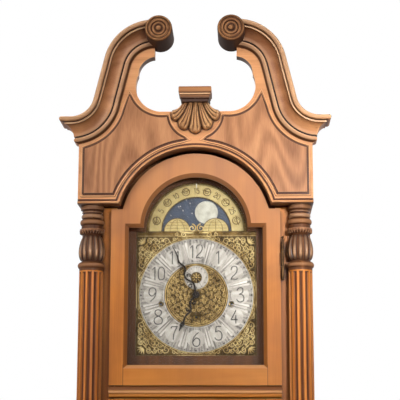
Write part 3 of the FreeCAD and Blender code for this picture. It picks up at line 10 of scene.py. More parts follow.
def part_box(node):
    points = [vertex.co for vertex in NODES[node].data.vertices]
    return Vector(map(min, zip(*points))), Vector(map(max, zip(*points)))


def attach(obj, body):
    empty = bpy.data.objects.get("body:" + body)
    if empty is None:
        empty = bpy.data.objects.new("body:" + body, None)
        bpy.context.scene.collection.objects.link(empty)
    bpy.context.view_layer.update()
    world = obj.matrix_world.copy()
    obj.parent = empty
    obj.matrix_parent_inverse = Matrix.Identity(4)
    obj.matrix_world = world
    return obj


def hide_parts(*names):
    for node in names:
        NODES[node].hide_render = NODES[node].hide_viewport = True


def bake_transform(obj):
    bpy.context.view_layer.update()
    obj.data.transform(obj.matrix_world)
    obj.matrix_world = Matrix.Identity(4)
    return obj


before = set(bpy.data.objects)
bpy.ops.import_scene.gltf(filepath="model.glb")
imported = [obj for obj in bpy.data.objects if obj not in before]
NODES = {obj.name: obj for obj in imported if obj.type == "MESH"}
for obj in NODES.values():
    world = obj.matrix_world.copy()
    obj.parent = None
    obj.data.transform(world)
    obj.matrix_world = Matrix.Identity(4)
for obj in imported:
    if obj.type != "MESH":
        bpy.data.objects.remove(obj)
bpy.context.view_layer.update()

MM = 0.001

# Photograph: 400 pixels square, seen from a little right of the middle and from low down
IMAGE_SIZE = 400
FOCAL_PIXELS = 1217
CAMERA_PLACE = (0.110, -2.797, 1.214)
CAMERA_YAW = math.radians(2.13)
CAMERA_PITCH = math.radians(11.62)
CAMERA_ROLL = math.radians(0.12)
SENSOR_WIDTH = 36


# Places, in millimetres, read from the frame where it has them

def span(node):
    """A node's lowest and highest corner, in millimetres."""
    low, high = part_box(node)
    return Vector(low) / MM, Vector(high) / MM


def round_face(node):
    """Level of a round node's middle, its radius and its front, in millimetres."""
    low, high = span(node)
    return (low.z + high.z) / 2, (high.x - low.x) / 2, low.y


DIAL_Z, RING_RADIUS, RING_FRONT = round_face("chapter_ring")
_, CENTRE_RADIUS, APPLIQUE_FRONT = round_face("dial_centre")
SECONDS_Z, SECONDS_RADIUS, SECONDS_FRONT = round_face("seconds_ring")
_, MOON_DISC_RADIUS, MOON_FRONT = round_face("moon_disc")
LUNAR_LOW, LUNAR_HIGH = span("lunar_arch")
ARCH_Z = LUNAR_LOW.z
LUNAR_RADIUS = LUNAR_HIGH.x
LUNAR_INNER = 79
HUMP_X = 44
HUMP_RADIUS = 30
PLATE_LOW, PLATE_HIGH = span("dial_plate")
PLATE_FRONT = PLATE_LOW.y
MASK_OVERLAP = 4
DIAL_HALF = PLATE_HIGH.x - MASK_OVERLAP
DIAL_RISE = DIAL_Z - (PLATE_LOW.z + MASK_OVERLAP)
FRIEZE_LOW, FRIEZE_HIGH = span("frieze_board")
FRIEZE_FRONT = FRIEZE_LOW.y
FRIEZE_BOTTOM = FRIEZE_LOW.z
FRIEZE_RADIUS = 177
COLUMN_X = 234
COLUMN_Y = -101
FLUTES = 12
FLUTES_LOW = 545
FLUTES_HIGH = 1603
POST_FRONT = span("corner_posts")[0].y
CAPITAL_TOP = span("left_column")[1].z
VASE_LOW = CAPITAL_TOP - 127
VASE_HIGH = CAPITAL_TOP - 67
ROLL_LOW, ROLL_HIGH = span("scroll_rosettes")
ROSETTE_RADIUS = (ROLL_HIGH.z - ROLL_LOW.z) / 2
ROSETTE_X = ROLL_HIGH.x - ROSETTE_RADIUS
ROSETTE_Z = ROLL_LOW.z + ROSETTE_RADIUS
CROWN_OUT = 40
CAP_TOP = span("pedestal_cap")[1].z
CAP_BOTTOM = CAP_TOP - 34
SHELL_TOP = CAP_BOTTOM + 7.5
SHELL_BOTTOM = span("shell_carving")[0].z
LEDGE_LOW, LEDGE_HIGH = span("ledge_moulding")
PANE_OVERLAP = 4.6
RAIL_PAST_PANE = 3.4


def door_rails():
    """Half width, lowest and highest level of each rail between the stiles of the doors."""
    hood_low, trunk_low = span("hood_door_frame")[0], span("trunk_door_frame")[0]
    trunk_top = span("trunk_door_frame")[1].z
    hood_pane, trunk_pane = span("hood_door_glass"), span("trunk_door_glass")
    hood_half, trunk_half = (pane[1].x + RAIL_PAST_PANE for pane in (hood_pane, trunk_pane))
    return [(hood_half, hood_low.z, hood_pane[0].z + PANE_OVERLAP),
            (trunk_half, trunk_low.z, trunk_pane[0].z + PANE_OVERLAP),
            (trunk_half, trunk_pane[1].z - PANE_OVERLAP, trunk_top)]


# Node trees: a colour of three numbers is written as on a screen, 0 to 255

def colour(red, green, blue):
    """A screen colour as a shader reads it."""
    shares = [value / 255 for value in (red, green, blue)]
    return tuple(c / 12.92 if c <= 0.04045 else ((c + 0.055) / 1.055) ** 2.4 for c in shares) + (1,)


class Nodes:
    """A node tree under construction, with short calls for the nodes used here."""

    def __init__(self, tree):
        self.tree = tree

    def feed(self, socket, value):
        """Links a socket to another, or sets it to a screen colour or a plain value."""
        if isinstance(value, bpy.types.NodeSocket):
            self.tree.links.new(value, socket)
        else:
            socket.default_value = colour(*value) if isinstance(value, tuple) else value

    def node(self, kind, inputs=None, **settings):
        """The outputs of a new node, with its settings made and its inputs fed."""
        made = self.tree.nodes.new(kind)
        for key, value in settings.items():
            setattr(made, key, value)
        for key, value in (inputs or {}).items():
            self.feed(made.inputs[key], value)
        return made.outputs

    def math(self, operation, *values):
        return self.node("ShaderNodeMath", dict(enumerate(values)), operation=operation)["Value"]

    def times(self, first, second):
        return self.math("MULTIPLY", first, second)

    def minus(self, first, second):
        return self.math("SUBTRACT", first, second)

    def most(self, first, second):
        return self.math("MAXIMUM", first, second)

    def total(self, *weighted):
        """The sum of some values, each times its weight."""
        made = 0.0
        for value, weight in weighted:
            made = self.math("MULTIPLY_ADD", value, weight, made)
        return made

    def polar(self, first, second):
        """Angle and radius of a point from its distances along two axes."""
        squares = self.math("ADD", self.times(first, first), self.times(second, second))
        return self.math("ARCTAN2", first, second), self.math("SQRT", squares)

    def share(self, value, low, high, most=1.0, least=0.0):
        """The least where a value is at its low mark, rising to the most at its high mark."""
        marks = {"Value": value, "From Min": low, "From Max": high, "To Min": least, "To Max": most}
        return self.node("ShaderNodeMapRange", marks)[0]

    def ramp(self, factor, *stops):
        """A ramp of stops, each a position with a grey share or a screen colour."""
        made = self.tree.nodes.new("ShaderNodeValToRGB")
        points = made.color_ramp.elements
        while len(points) < len(stops):
            points.new(0.5)
        for point, (position, shade) in zip(points, stops):
            point.position = position
            point.color = colour(*shade) if isinstance(shade, tuple) else (shade, shade, shade, 1)
        self.feed(made.inputs["Fac"], factor)
        return made.outputs["Color"]

    def mix(self, factor, first, second):
        return self.node("ShaderNodeMix", {0: factor, 6: first, 7: second}, data_type="RGBA")[2]

    def parts(self, vector):
        return self.node("ShaderNodeSeparateXYZ", {0: vector})

    def seen(self):
        """1 where the camera looks, straight, in a reflection or through glass, and 0 for other rays."""
        rays = self.node("ShaderNodeLightPath")
        return self.most(self.most(rays["Is Camera Ray"], rays["Is Glossy Ray"]), rays["Is Transmission Ray"])


class Finish(Nodes):
    """A material under construction, with the colour that it shows so far."""

    def __init__(self, name, **constants):
        self.material = bpy.data.materials.new(name)
        self.material.use_nodes = True
        super().__init__(self.material.node_tree)
        self.shader = self.tree.nodes["Principled BSDF"]
        coordinates = self.node("ShaderNodeTexCoord")
        self.place = coordinates["Object"]
        self.facing = coordinates["Normal"]
        self.tone = None
        self.shown = None
        for key, value in constants.items():
            self.shader.inputs[key.replace("_", " ")].default_value = value

    def drive(self, key, value):
        self.tree.links.new(value, self.shader.inputs[key])

    def axes(self):
        return self.parts(self.place)

    def normal(self):
        """The parts of the direction that a surface faces."""
        return self.parts(self.facing)

    def level(self, low, high, most=1.0):
        """A share that rises from one height to another, both in millimetres."""
        return self.share(self.axes()["Z"], low * MM, high * MM, most)

    def stretched(self, scale):
        return self.node("ShaderNodeMapping", {"Vector": self.place, "Scale": Vector(scale)})["Vector"]

    def noise(self, vector, scale, detail=3, roughness=0.5, distortion=0, **settings):
        inputs = {"Vector": vector, "Scale": scale, "Detail": detail, "Roughness": roughness,
                  "Distortion": distortion}
        return self.node("ShaderNodeTexNoise", inputs, **settings)["Fac"]

    def hollows(self, reach, inside=False):
        """1 in the open and lower in a hollow, or over a convex edge when it looks inside."""
        return self.node("ShaderNodeAmbientOcclusion", {"Distance": reach * MM}, samples=8, inside=inside,
                         only_local=inside)["AO"]

    def lay(self, shade, factor):
        """Lays a colour over what is shown, by a share."""
        self.shown = self.mix(factor, self.shown, shade)

    def close(self, wear, low, high, height, strength, distance):
        """The material as shown, with a roughness that follows the wear and a bump in millimetres."""
        self.drive("Base Color", self.shown)
        self.drive("Roughness", self.ramp(wear, (0.3, low), (0.7, high)))
        raised = {"Strength": strength, "Distance": distance * MM, "Height": height}
        self.drive("Normal", self.node("ShaderNodeBump", raised)["Normal"])
        return self.material


# Wood

GRAIN = {"x": (0.05, 1, 1), "y": (1, 0.05, 1), "z": (1, 1, 0.05), "figured": (1, 1, 0.22)}
FINE = 0.4
FIGURE_SCALE = 16
RING_SCALE = 5
RING_WAVES = 120
FIBRE_SCALE = 520
BLOTCH_SCALE = 5
EDGE_REACH = 3
BROAD_REACH = 26
# Glaze colours, partly real glazing and partly painted shade
GLAZE_AND_SHADE = (46, 21, 10)
WARM_GLAZE_AND_SHADE = (104, 54, 26)
# Painted shade in the column's flutes and on slanted faces
FLUTE_SHADE = (84, 34, 8)
SLANT_SHADE = (86, 46, 23)
# Painted highlights: on fillets, on faces that look up, and on the crests of carved and turned work
PALE_HIGHLIGHT = (244, 198, 152)
CREST_HIGHLIGHT = (206, 156, 114)
TURNED_CREST_HIGHLIGHT = (196, 142, 98)
TURNED_STOPS = ((0.36, (40, 20, 11)), (0.54, (74, 42, 25)), (0.68, (136, 88, 55)))
DOOR_LIGHT = (230, 148, 60)
DOOR_MIDDLE = (210, 126, 42)
DOOR_DARK = (176, 96, 26)
# Painted reflection that pales the door's arch
DOOR_ARCH_REFLECTION = (194, 144, 110)


def wood(name, light, middle, dark, grain="z", glaze_and_shade=0.55, change=None, figured=0.05, gloss=0.42, reach=6):
    """Lacquered wood: growth rings and fibres along the grain, glazing and painted shade in the hollows, and
    edges lightened by rubbing and painted highlight.
    """
    finish = Finish(name, Coat_Weight=0.06, Coat_Roughness=0.25, Specular_IOR_Level=0.28)
    scale = GRAIN[grain]
    along = finish.stretched(scale)
    figure = finish.noise(along, FIGURE_SCALE, 4, 0.55, 0.7)
    rings = finish.math("SINE", finish.times(finish.noise(along, RING_SCALE, 2, 0.4, 0.3), RING_WAVES))
    fibre = finish.noise(finish.stretched(tuple(v * FINE if v < 1 else 1 for v in scale)), FIBRE_SCALE, 2)
    blotch = finish.noise(finish.place, BLOTCH_SCALE)
    finish.tone = finish.total((figure, 0.55), (rings, figured), (fibre, 0.25), (blotch, 0.25))
    finish.shown = finish.ramp(finish.tone, (0.3, dark), (0.52, middle), (0.76, light))
    # Glazing and painted shade darken the hollows, broadly and then narrowly
    finish.lay(WARM_GLAZE_AND_SHADE, finish.ramp(finish.hollows(BROAD_REACH), (0.3, glaze_and_shade), (0.95, 0.0)))
    finish.lay(GLAZE_AND_SHADE, finish.ramp(finish.hollows(reach), (0.3, 0.96), (0.55, 0.6), (0.86, 0.0)))
    # Convex edges lightened, partly rubbed wear and partly painted highlight
    finish.lay(light, finish.ramp(finish.hollows(EDGE_REACH, True), (0.35, 0.5), (0.75, 0.0)))
    if change is not None:
        change(finish)
    return finish.close(figure, gloss - 0.06, gloss + 0.1, finish.total((fibre, 1), (figure, 0.6)), 0.16, 0.6)


def patched(finish, scale, start, most):
    """Soft patches of a warm brown glazing."""
    patches = finish.noise(finish.place, scale, 3, 0.55, 0.4)
    finish.lay(WARM_GLAZE_AND_SHADE, finish.ramp(patches, (start, most), (0.6, 0.0)))


def with_rails(finish):
    """A door's rails, whose grain runs across, and the joints at their ends."""
    aside = finish.math("ABSOLUTE", finish.axes()["X"])
    rails, joints = 0.0, 0.0
    for half, low, high in door_rails():
        level = finish.times(finish.level(low - 1, low), finish.level(high + 1, high))
        within = finish.share(aside, half * MM, (half - 0.5) * MM, 0.8)
        rails = finish.most(rails, finish.times(level, within))
        off = finish.math("ABSOLUTE", finish.minus(aside, half * MM))
        joints = finish.most(joints, finish.times(level, finish.share(off, 1.1 * MM, 0.4 * MM, 0.6)))
    across = finish.noise(finish.stretched(GRAIN["x"]), FIGURE_SCALE, 4, 0.6, 0.7)
    finish.lay(finish.ramp(across, (0.32, DOOR_DARK), (0.5, DOOR_MIDDLE), (0.68, DOOR_LIGHT)), rails)
    finish.lay(GLAZE_AND_SHADE, joints)


def framed(finish):
    """A door: crosswise rails, soft patches, a painted reflection on the arch, painted shade on edges and
    bevels, and a painted highlight on faces that look up.
    """
    with_rails(finish)
    patched(finish, 6, 0.34, 0.34)
    # Painted reflection: the arch paler
    finish.lay(DOOR_ARCH_REFLECTION, finish.level(1560, 1880, 0.6))
    _, ahead, upward = finish.normal()
    # Painted highlight on faces that look up, and painted shade on slanted faces that do not
    slant = finish.share(finish.math("ABSOLUTE", ahead), 0.96, 0.75, 0.5)
    finish.lay(PALE_HIGHLIGHT, finish.share(upward, 0.4, 0.65, 0.35))
    finish.lay(SLANT_SHADE, finish.times(slant, finish.share(upward, 0.5, 0.1)))


def column_polar(finish):
    """Angle and radius round a column's axis."""
    x, y, _ = finish.axes()
    across = finish.minus(finish.math("ABSOLUTE", x), COLUMN_X * MM)
    return finish.polar(finish.minus(y, COLUMN_Y * MM), across)


def column_wave(finish):
    """A wave round the column's axis, 1 along each flute and each lobe of its capital."""
    return finish.math("COSINE", finish.times(column_polar(finish)[0], FLUTES))


def column_girth(finish, low, high, most):
    """A share that rises from one radius of the column to another, both in millimetres."""
    return finish.share(column_polar(finish)[1], low * MM, high * MM, most)


def fluted(finish):
    """Painted shade along the column's flutes, and a dark turned capital above them with painted highlights
    on its ring crests and painted shade inside them.
    """
    # Painted shade in the flutes
    hollow = finish.share(column_wave(finish), -0.45, 0.5, 0.95)
    above, below = finish.level(FLUTES_LOW, FLUTES_LOW + 2), finish.level(FLUTES_HIGH, FLUTES_HIGH - 2)
    finish.lay(FLUTE_SHADE, finish.times(hollow, finish.times(above, below)))
    # Painted highlights on the ring crests, and painted shade inward of the rings
    upper = finish.level(CAPITAL_TOP - 56, CAPITAL_TOP - 52)
    crest = finish.most(column_girth(finish, 29, 30.8, 0.5),
                        finish.times(upper, column_girth(finish, 25.2, 26.6, 0.5)))
    turned_wood = finish.mix(crest, finish.ramp(finish.tone, *TURNED_STOPS), TURNED_CREST_HIGHLIGHT)
    turned_wood = finish.mix(column_girth(finish, 23.5, 20.5, 0.75), turned_wood, GLAZE_AND_SHADE)
    finish.lay(turned_wood, finish.level(FLUTES_HIGH + 2, FLUTES_HIGH + 4, 0.9))


def gadrooned(finish):
    """Painted highlights on the capital's lobe crests, painted shade in their valleys and towards the vase's
    foot and top, so the lobes are palest at their bellies.
    """
    wave = column_wave(finish)
    # Painted highlights on the crests, painted shade in the valleys and towards the vase's foot and top
    finish.lay(CREST_HIGHLIGHT, finish.share(wave, -0.4, 0.9, 0.85))
    finish.lay(GLAZE_AND_SHADE, finish.share(wave, 0.0, -0.8, 0.95))
    finish.lay(GLAZE_AND_SHADE, finish.ramp(finish.level(VASE_LOW, VASE_HIGH), (0.0, 0.9), (0.12, 0.7), (0.25, 0.0),
                                  (0.42, 0.05), (0.62, 0.5), (0.84, 0.6), (0.96, 0.9)))


def ringed(finish):
    """Painted highlights on the crests of the capital's neck rings, and painted shade in the hollows beside
    them.
    """
    finish.lay(CREST_HIGHLIGHT, column_girth(finish, 22.2, 23.8, 0.55))
    finish.lay(GLAZE_AND_SHADE, column_girth(finish, 22.2, 20.8, 0.9))


def dark_sided(finish):
    """The scroll's roll has painted shade, nearly black, down its sides, and its turned face has golden rings
    between rings of painted shade.
    """
    x, _, z = finish.axes()
    across = finish.minus(finish.math("ABSOLUTE", x), ROSETTE_X * MM)
    radius = finish.polar(across, finish.minus(z, ROSETTE_Z * MM))[1]
    share = finish.math("DIVIDE", radius, ROSETTE_RADIUS * MM)
    # Painted shade in rings across the turned face, and down the roll's sides
    finish.lay(GLAZE_AND_SHADE, finish.ramp(share, (0.12, 0.05), (0.24, 0.85), (0.31, 0.85), (0.4, 0.0), (0.47, 0.1),
                                  (0.54, 0.85), (0.63, 0.0), (0.7, 0.15), (0.78, 0.85), (0.9, 0.0),
                                  (0.98, 0.4)))
    finish.lay(GLAZE_AND_SHADE, finish.share(finish.math("ABSOLUTE", finish.normal()["Y"]), 0.7, 0.2, 0.84))


def dark_below(finish):
    """Faces that look down hold a painted shade."""
    finish.lay(GLAZE_AND_SHADE, finish.share(finish.normal()["Z"], -0.1, -0.45, 0.8))


def moulded(finish):
    """The crown in soft patches, darker higher up, with painted shade in its grooves and under its bead, and
    painted highlights on faces that look up and outward, on its fillet and on its rolls.
    """
    patched(finish, 8, 0.36, 0.5)
    finish.lay(WARM_GLAZE_AND_SHADE, finish.level(2000, 2150, 0.5))
    x, y, _ = finish.axes()
    aside, _, upward = finish.normal()
    lit = finish.math("ADD", upward, finish.times(aside, finish.math("SIGN", x)))
    # Painted highlights on faces that look up and outward, and on the bead, fillet and torus
    finish.lay(PALE_HIGHLIGHT, finish.share(lit, 0.1, 0.7, 0.5))
    out = finish.math("DIVIDE", finish.minus(FRIEZE_FRONT * MM, y), CROWN_OUT * MM)
    finish.lay(PALE_HIGHLIGHT, finish.ramp(out, (0.19, 0.0), (0.22, 0.45), (0.25, 0.3), (0.3, 0.0), (0.745, 0.0),
                                     (0.755, 0.75), (0.767, 0.75), (0.775, 0.0), (0.92, 0.0), (0.99, 0.35)))
    # Painted shade in the grooves and under the bead, less where faces are lit
    grooves = finish.ramp(out, (0.0, 0.6), (0.13, 0.9), (0.2, 0.8), (0.25, 0.15), (0.27, 0.0), (0.45, 0.12),
                          (0.6, 0.32), (0.69, 0.6), (0.745, 0.55), (0.755, 0.0), (0.767, 0.0), (0.78, 0.95),
                          (0.855, 0.95), (0.9, 0.85), (0.96, 0.5), (1.0, 0.1))
    finish.lay(GLAZE_AND_SHADE, finish.times(grooves, finish.share(lit, 0.35, 0.0)))


def banded(finish):
    """Painted shade in the cap's steps and under it, and a painted highlight on its middle fillet."""
    share = finish.level(CAP_BOTTOM, CAP_TOP)
    finish.lay(PALE_HIGHLIGHT, finish.ramp(share, (0.46, 0.0), (0.49, 0.75), (0.54, 0.75), (0.56, 0.0)))
    finish.lay(GLAZE_AND_SHADE, finish.ramp(share, (0.0, 0.95), (0.22, 0.95), (0.3, 0.6), (0.4, 0.45), (0.45, 0.75),
                                  (0.48, 0.0), (0.55, 0.0), (0.57, 0.75), (0.62, 0.65), (0.67, 0.15),
                                  (0.78, 0.0), (0.93, 0.0), (1.0, 0.4)))


def scooped(finish):
    """Painted shade in the hollow where the shell comes out from under the cap."""
    finish.lay(GLAZE_AND_SHADE, finish.level(SHELL_TOP - 10, SHELL_TOP - 2, 0.8))


def ledged(finish):
    """The ledge has a painted shadow close under the door, and a painted highlight on its nose."""
    share = finish.level(LEDGE_LOW.z, LEDGE_HIGH.z)
    finish.lay(PALE_HIGHLIGHT, finish.ramp(share, (0.4, 0.0), (0.46, 0.5), (0.56, 0.5), (0.62, 0.0)))
    finish.lay(WARM_GLAZE_AND_SHADE, finish.ramp(share, (0.58, 0.0), (0.7, 0.85), (1.0, 0.9)))


# Metal, enamel and glass

def metal(name, bright, dull, tarnish, roughness=0.3, reach=4, scale=60, brushed=False, scratches=0.12):
    """Lacquered metal: tarnish in the hollows and in soft blotches, fine scratches."""
    finish = Finish(name, Metallic=0.85)
    blotch = finish.noise(finish.place, scale, 4)
    scratch = finish.noise(finish.stretched((1, 1, 0.04) if brushed else (1, 1, 1)), 900, 2)
    finish.shown = finish.ramp(blotch, (0.35, dull), (0.62, bright))
    finish.lay(tarnish, finish.ramp(finish.hollows(reach), (0.35, 1.0), (0.9, 0.0)))
    return finish.close(blotch, roughness + 0.12, roughness, scratch, scratches, 0.2)


def silvered(name, bright, dull, rays):
    """Silvered brass with a radial brush that shows as rays from the dial's middle."""
    finish = Finish(name, Metallic=0.55)
    x, _, z = finish.axes()
    angle, radius = finish.polar(x, finish.minus(z, DIAL_Z * MM))
    joined = finish.node("ShaderNodeCombineXYZ", {0: finish.times(angle, rays), 1: finish.times(radius, 8)})
    streak = finish.noise(joined[0], 1, noise_dimensions="2D")
    mottle = finish.noise(finish.place, 90, 4)
    finish.shown = finish.ramp(streak, (0.3, dull), (0.68, bright))
    finish.lay(dull, finish.ramp(mottle, (0.3, 0.35), (0.6, 0.0)))
    return finish.close(mottle, 0.5, 0.34, streak, 0.15, 0.3)


def enamel(name, pale, warm, roughness=0.35):
    """Painted and lacquered sheet, slightly mottled."""
    finish = Finish(name, Coat_Weight=0.2)
    speckle = finish.noise(finish.place, 700, 2)
    finish.shown = finish.ramp(finish.noise(finish.place, 70, 5, 0.6), (0.32, warm), (0.66, pale))
    return finish.close(speckle, roughness, roughness + 0.15, speckle, 0.1, 0.15)


def clear_glass(name):
    """Thin pane: clear to look through, with a faint green tint and a sharp sheen."""
    finish = Finish(name, Base_Color=(0.95, 0.98, 0.96, 1), IOR=1.45, Transmission_Weight=1, Alpha=0.08)
    finish.drive("Roughness", finish.ramp(finish.noise(finish.place, 6), (0.4, 0.02), (0.7, 0.06)))
    return finish.material


FINISHES = {
    "frieze": wood("frieze_wood", (240, 176, 122), (222, 156, 102), (188, 124, 74), "x", 0.4, dark_below),
    "return": wood("return_wood", (226, 160, 104), (204, 136, 83), (170, 105, 59), "y", 0.7),
    "panel": wood("panel_wood", (212, 152, 104), (182, 123, 80), (144, 92, 56), "figured", 0.6, dark_below,
                  figured=0.1),
    "crown": wood("crown_wood", (228, 164, 110), (200, 136, 87), (152, 95, 54), "x", 0.8, moulded, reach=11),
    "cap": wood("cap_wood", (208, 146, 90), (172, 113, 66), (130, 79, 43), "x", 0.7, banded),
    "door": wood("door_wood", DOOR_LIGHT, DOOR_MIDDLE, DOOR_DARK, "z", 0.5, framed, figured=0.04),
    "rail": wood("rail_wood", (222, 142, 52), (200, 120, 38), (164, 90, 24), "x"),
    "ledge": wood("ledge_wood", (244, 168, 88), (222, 142, 62), (186, 108, 38), "x", 0.1, ledged),
    "post": wood("post_wood", (248, 164, 78), (230, 142, 56), (194, 110, 38), "z", 0.45, reach=14),
    "case": wood("case_wood", (222, 148, 80), (198, 122, 60), (160, 90, 40)),
    "carved": wood("carved_wood", (160, 112, 74), (104, 67, 42), (62, 36, 22), "z", 0.6, gadrooned,
                   gloss=0.32),
    "leaves": wood("leaf_wood", (206, 158, 116), (160, 110, 74), (100, 62, 39), gloss=0.34),
    "turned": wood("turned_wood", (160, 110, 74), (108, 68, 43), (66, 38, 24), change=ringed, gloss=0.3),
    "shell": wood("shell_wood", (240, 196, 142), (206, 154, 104), (140, 90, 54), "z", 0.75, scooped, reach=9),
    "roll": wood("roll_wood", (206, 150, 98), (156, 106, 66), (100, 62, 36), "y", 0.6, dark_sided,
                 gloss=0.78),
    "column": wood("column_wood", (252, 172, 88), (230, 140, 58), (176, 96, 32), "z", 0.5, fluted,
                   gloss=0.56),
    # Dark strokes of painted shade beside the frieze bead, and of glazing and painted shade round the panels
    "line": wood("painted_shade_line", (100, 56, 30), (76, 41, 21), (52, 27, 13), "x"),
    "inner": wood("inner_wood", (178, 142, 98), (152, 116, 76), (120, 88, 56), "z", 0.4, gloss=0.6),
    "rod": wood("rod_wood", (150, 92, 52), (116, 66, 36), (84, 46, 26)),
    "mask": wood("mask_wood", (118, 70, 30), (92, 54, 22), (64, 36, 14), "z", 0.5, gloss=0.55),
    "aged_brass": metal("aged_brass", (112, 88, 48), (74, 56, 28), (36, 24, 10), 0.45),
    "ground": metal("dark_ground", (84, 66, 36), (54, 41, 21), (28, 19, 8), 0.5),
    "gilt": metal("gilt_relief", (226, 204, 146), (176, 146, 88), (46, 31, 13), 0.36, 3),
    "old_gilt": metal("old_gilt_relief", (200, 172, 112), (140, 112, 66), (46, 31, 13), 0.36, 3),
    "brass": metal("polished_brass", (230, 194, 112), (220, 180, 96), (120, 86, 36), 0.4, 5, 30,
                   scratches=0.02),
    "dark_brass": metal("dark_brass", (92, 66, 40), (62, 42, 26), (28, 18, 10), 0.42),
    "silver": silvered("silvered_ring", (170, 163, 152), (78, 73, 68), 20),
    "plaque": silvered("silvered_plaque", (180, 174, 164), (140, 134, 124), 8),
    "ray": silvered("silvered_ray", (200, 194, 184), (150, 144, 134), 8),
    "enamel": enamel("lunar_enamel", (210, 190, 124), (182, 156, 90)),
    "white": enamel("white_enamel", (234, 232, 224), (212, 208, 196)),
    "blue": enamel("moon_blue", (48, 62, 84), (24, 34, 52)),
    "moon": enamel("moon_paint", (216, 214, 198), (176, 172, 152)),
    "ink": enamel("engraved_ink", (48, 42, 38), (28, 24, 22), 0.5),
    "black": metal("black_steel", (44, 38, 34), (24, 20, 18), (8, 6, 6), 0.4),
    "steel": metal("steel", (190, 192, 196), (150, 152, 158), (60, 60, 64), reach=5, scale=40, brushed=True),
    "glass": clear_glass("pane_glass"),
}

NODE_FINISHES = {
    "frieze": ["frieze_board"],
    "return": ["frieze_returns", "crown_returns"],
    "panel": ["frieze_panels"],
    "crown": ["left_swan_neck", "right_swan_neck"],
    "door": ["hood_door_frame", "trunk_door_frame"],
    "cap": ["pedestal_cap"],
    "rail": ["lower_rail", "waist_moulding", "plinth_skirt"],
    "ledge": ["ledge_moulding"],
    "post": ["corner_posts"],
    "case": ["case_sides", "base_front", "base_panel", "base_sides"],
    "roll": ["scroll_rosettes"],
    "shell": ["shell_carving"],
    "column": ["left_column", "right_column"],
    "inner": ["back_board", "base_floor", "hood_roof", "seat_board"],
    "rod": ["pendulum_rod"],
    "mask": ["dial_mask"],
    "ground": ["dial_centre", "corner_spandrels"],
    "aged_brass": ["dial_plate"],
    "brass": ["front_plate", "back_plate", "plate_pillars", "trunk_door_knob", "minute_wheel", "hour_wheel",
              "escape_wheel", "pendulum_bob", "left_weight", "centre_weight", "right_weight", "left_drum",
              "centre_drum", "right_drum"],
    "dark_brass": ["hinge_pins", "hood_door_hinge", "trunk_door_hinges"],
    "silver": ["chapter_ring"],
    "plaque": ["seconds_ring"],
    "enamel": ["lunar_arch"],
    "blue": ["moon_disc"],
    "black": ["minute_hand", "hour_hand", "seconds_hand", "centre_arbor"],
    "steel": ["anchor", "weight_cables"],
    "glass": ["hood_door_glass", "trunk_door_glass"],
}


def dress_nodes():
    """Gives each CAD node its finish."""
    for finish, names in NODE_FINISHES.items():
        for name in names:
            slots = NODES[name].data.materials
            slots.clear()
            slots.append(FINISHES[finish])


# Pieces

SUNK = 0.1
CORNERS = ((-1, -1), (1, -1), (1, 1), (-1, 1))


def piece(name, mesh, finish, body, rounded=True):
    """A finished mesh, in metres, that rides on a body unless that is None."""
    mesh.materials.append(FINISHES[finish])
    made = bpy.data.objects.new(name, mesh)
    bpy.context.scene.collection.objects.link(made)
    for face in mesh.polygons:
        face.use_smooth = rounded
    if body is not None:
        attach(made, body)
    return made


def built_piece(name, grids, finish, body="case", rounded=True, tube=True):
    """A piece of skinned grids of points in millimetres, turned to metres with its faces outward."""
    work = bmesh.new()
    for rows in grids:
        add_grid(work, rows, tube)
    bmesh.ops.recalc_face_normals(work, faces=work.faces)
    bmesh.ops.scale(work, vec=(MM, MM, MM), verts=work.verts)
    mesh = bpy.data.meshes.new(name)
    work.to_mesh(mesh)
    work.free()
    return piece(name, mesh, finish, body, rounded)


def stroke_piece(name, strokes, depth_share, middle_y, finish, body="case", smooth=True, roundness=2):
    """Rounded strokes in the dial's plane, lists of (x, z, width), flattened to a share of their width."""
    curve = bpy.data.curves.new(name, "CURVE")
    curve.dimensions = "3D"
    curve.bevel_depth = 1
    curve.bevel_resolution = roundness
    curve.resolution_u = 4
    curve.use_fill_caps = True
    for points in strokes:
        spline = curve.splines.new("NURBS" if smooth else "POLY")
        spline.points.add(len(points) - 1)
        for target, (x, z, width) in zip(spline.points, points):
            target.co = (x, 0, z, 1)
            target.radius = width / 2
        if smooth:
            spline.order_u = 3
            spline.use_endpoint_u = True
    holder = bpy.data.objects.new(name, curve)
    mesh = bpy.data.meshes.new_from_object(holder)
    bpy.data.objects.remove(holder)
    bpy.data.curves.remove(curve)
    mesh.transform(Matrix.Diagonal((MM, MM * depth_share, MM, 1)))
    mesh.transform(Matrix.Translation((0, middle_y * MM, 0)))
    return piece(name, mesh, finish, body)


def add_grid(work, rows, tube):
    """Skins rows of points, all of one length, as a tube with closed ends or a sheet with a flat back."""
    grid = [[work.verts.new(point) for point in row] for row in rows]
    width = len(rows[0])
    for low, high in zip(grid, grid[1:]):
        for step in range(width if tube else width - 1):
            after = (step + 1) % width
            work.faces.new((low[step], low[after], high[after], high[step]))
    if tube:
        work.faces.new(grid[0])
        work.faces.new(grid[-1][::-1])
    else:
        right, left = [row[-1] for row in grid[1:-1]], [row[0] for row in grid[-2:0:-1]]
        work.faces.new(grid[0] + right + grid[-1][::-1] + left)


def slab_piece(name, outlines, ground, proud, finish, body="case", sunk=SUNK):
    """Flat plates, each an outline of (x, z) points, that stand proud of a ground and are sunk into it."""
    levels = (ground - proud, ground + sunk)
    slabs = [[[(x, y, z) for x, z in outline] for y in levels] for outline in outlines]
    built_piece(name, slabs, finish, body, False)


# Lines in the dial's plane, in (x, z)

def spot(radius, angle, z=DIAL_Z, x=0):
    """The point at a radius and a clockwise angle from straight up, round a middle."""
    return x + radius * math.sin(angle), z + radius * math.cos(angle)


def round_outline(x, z, radius, sides):
    """Points round a circle, clockwise from its top."""
    return [spot(radius, 2 * math.pi * k / sides, z, x) for k in range(sides)]


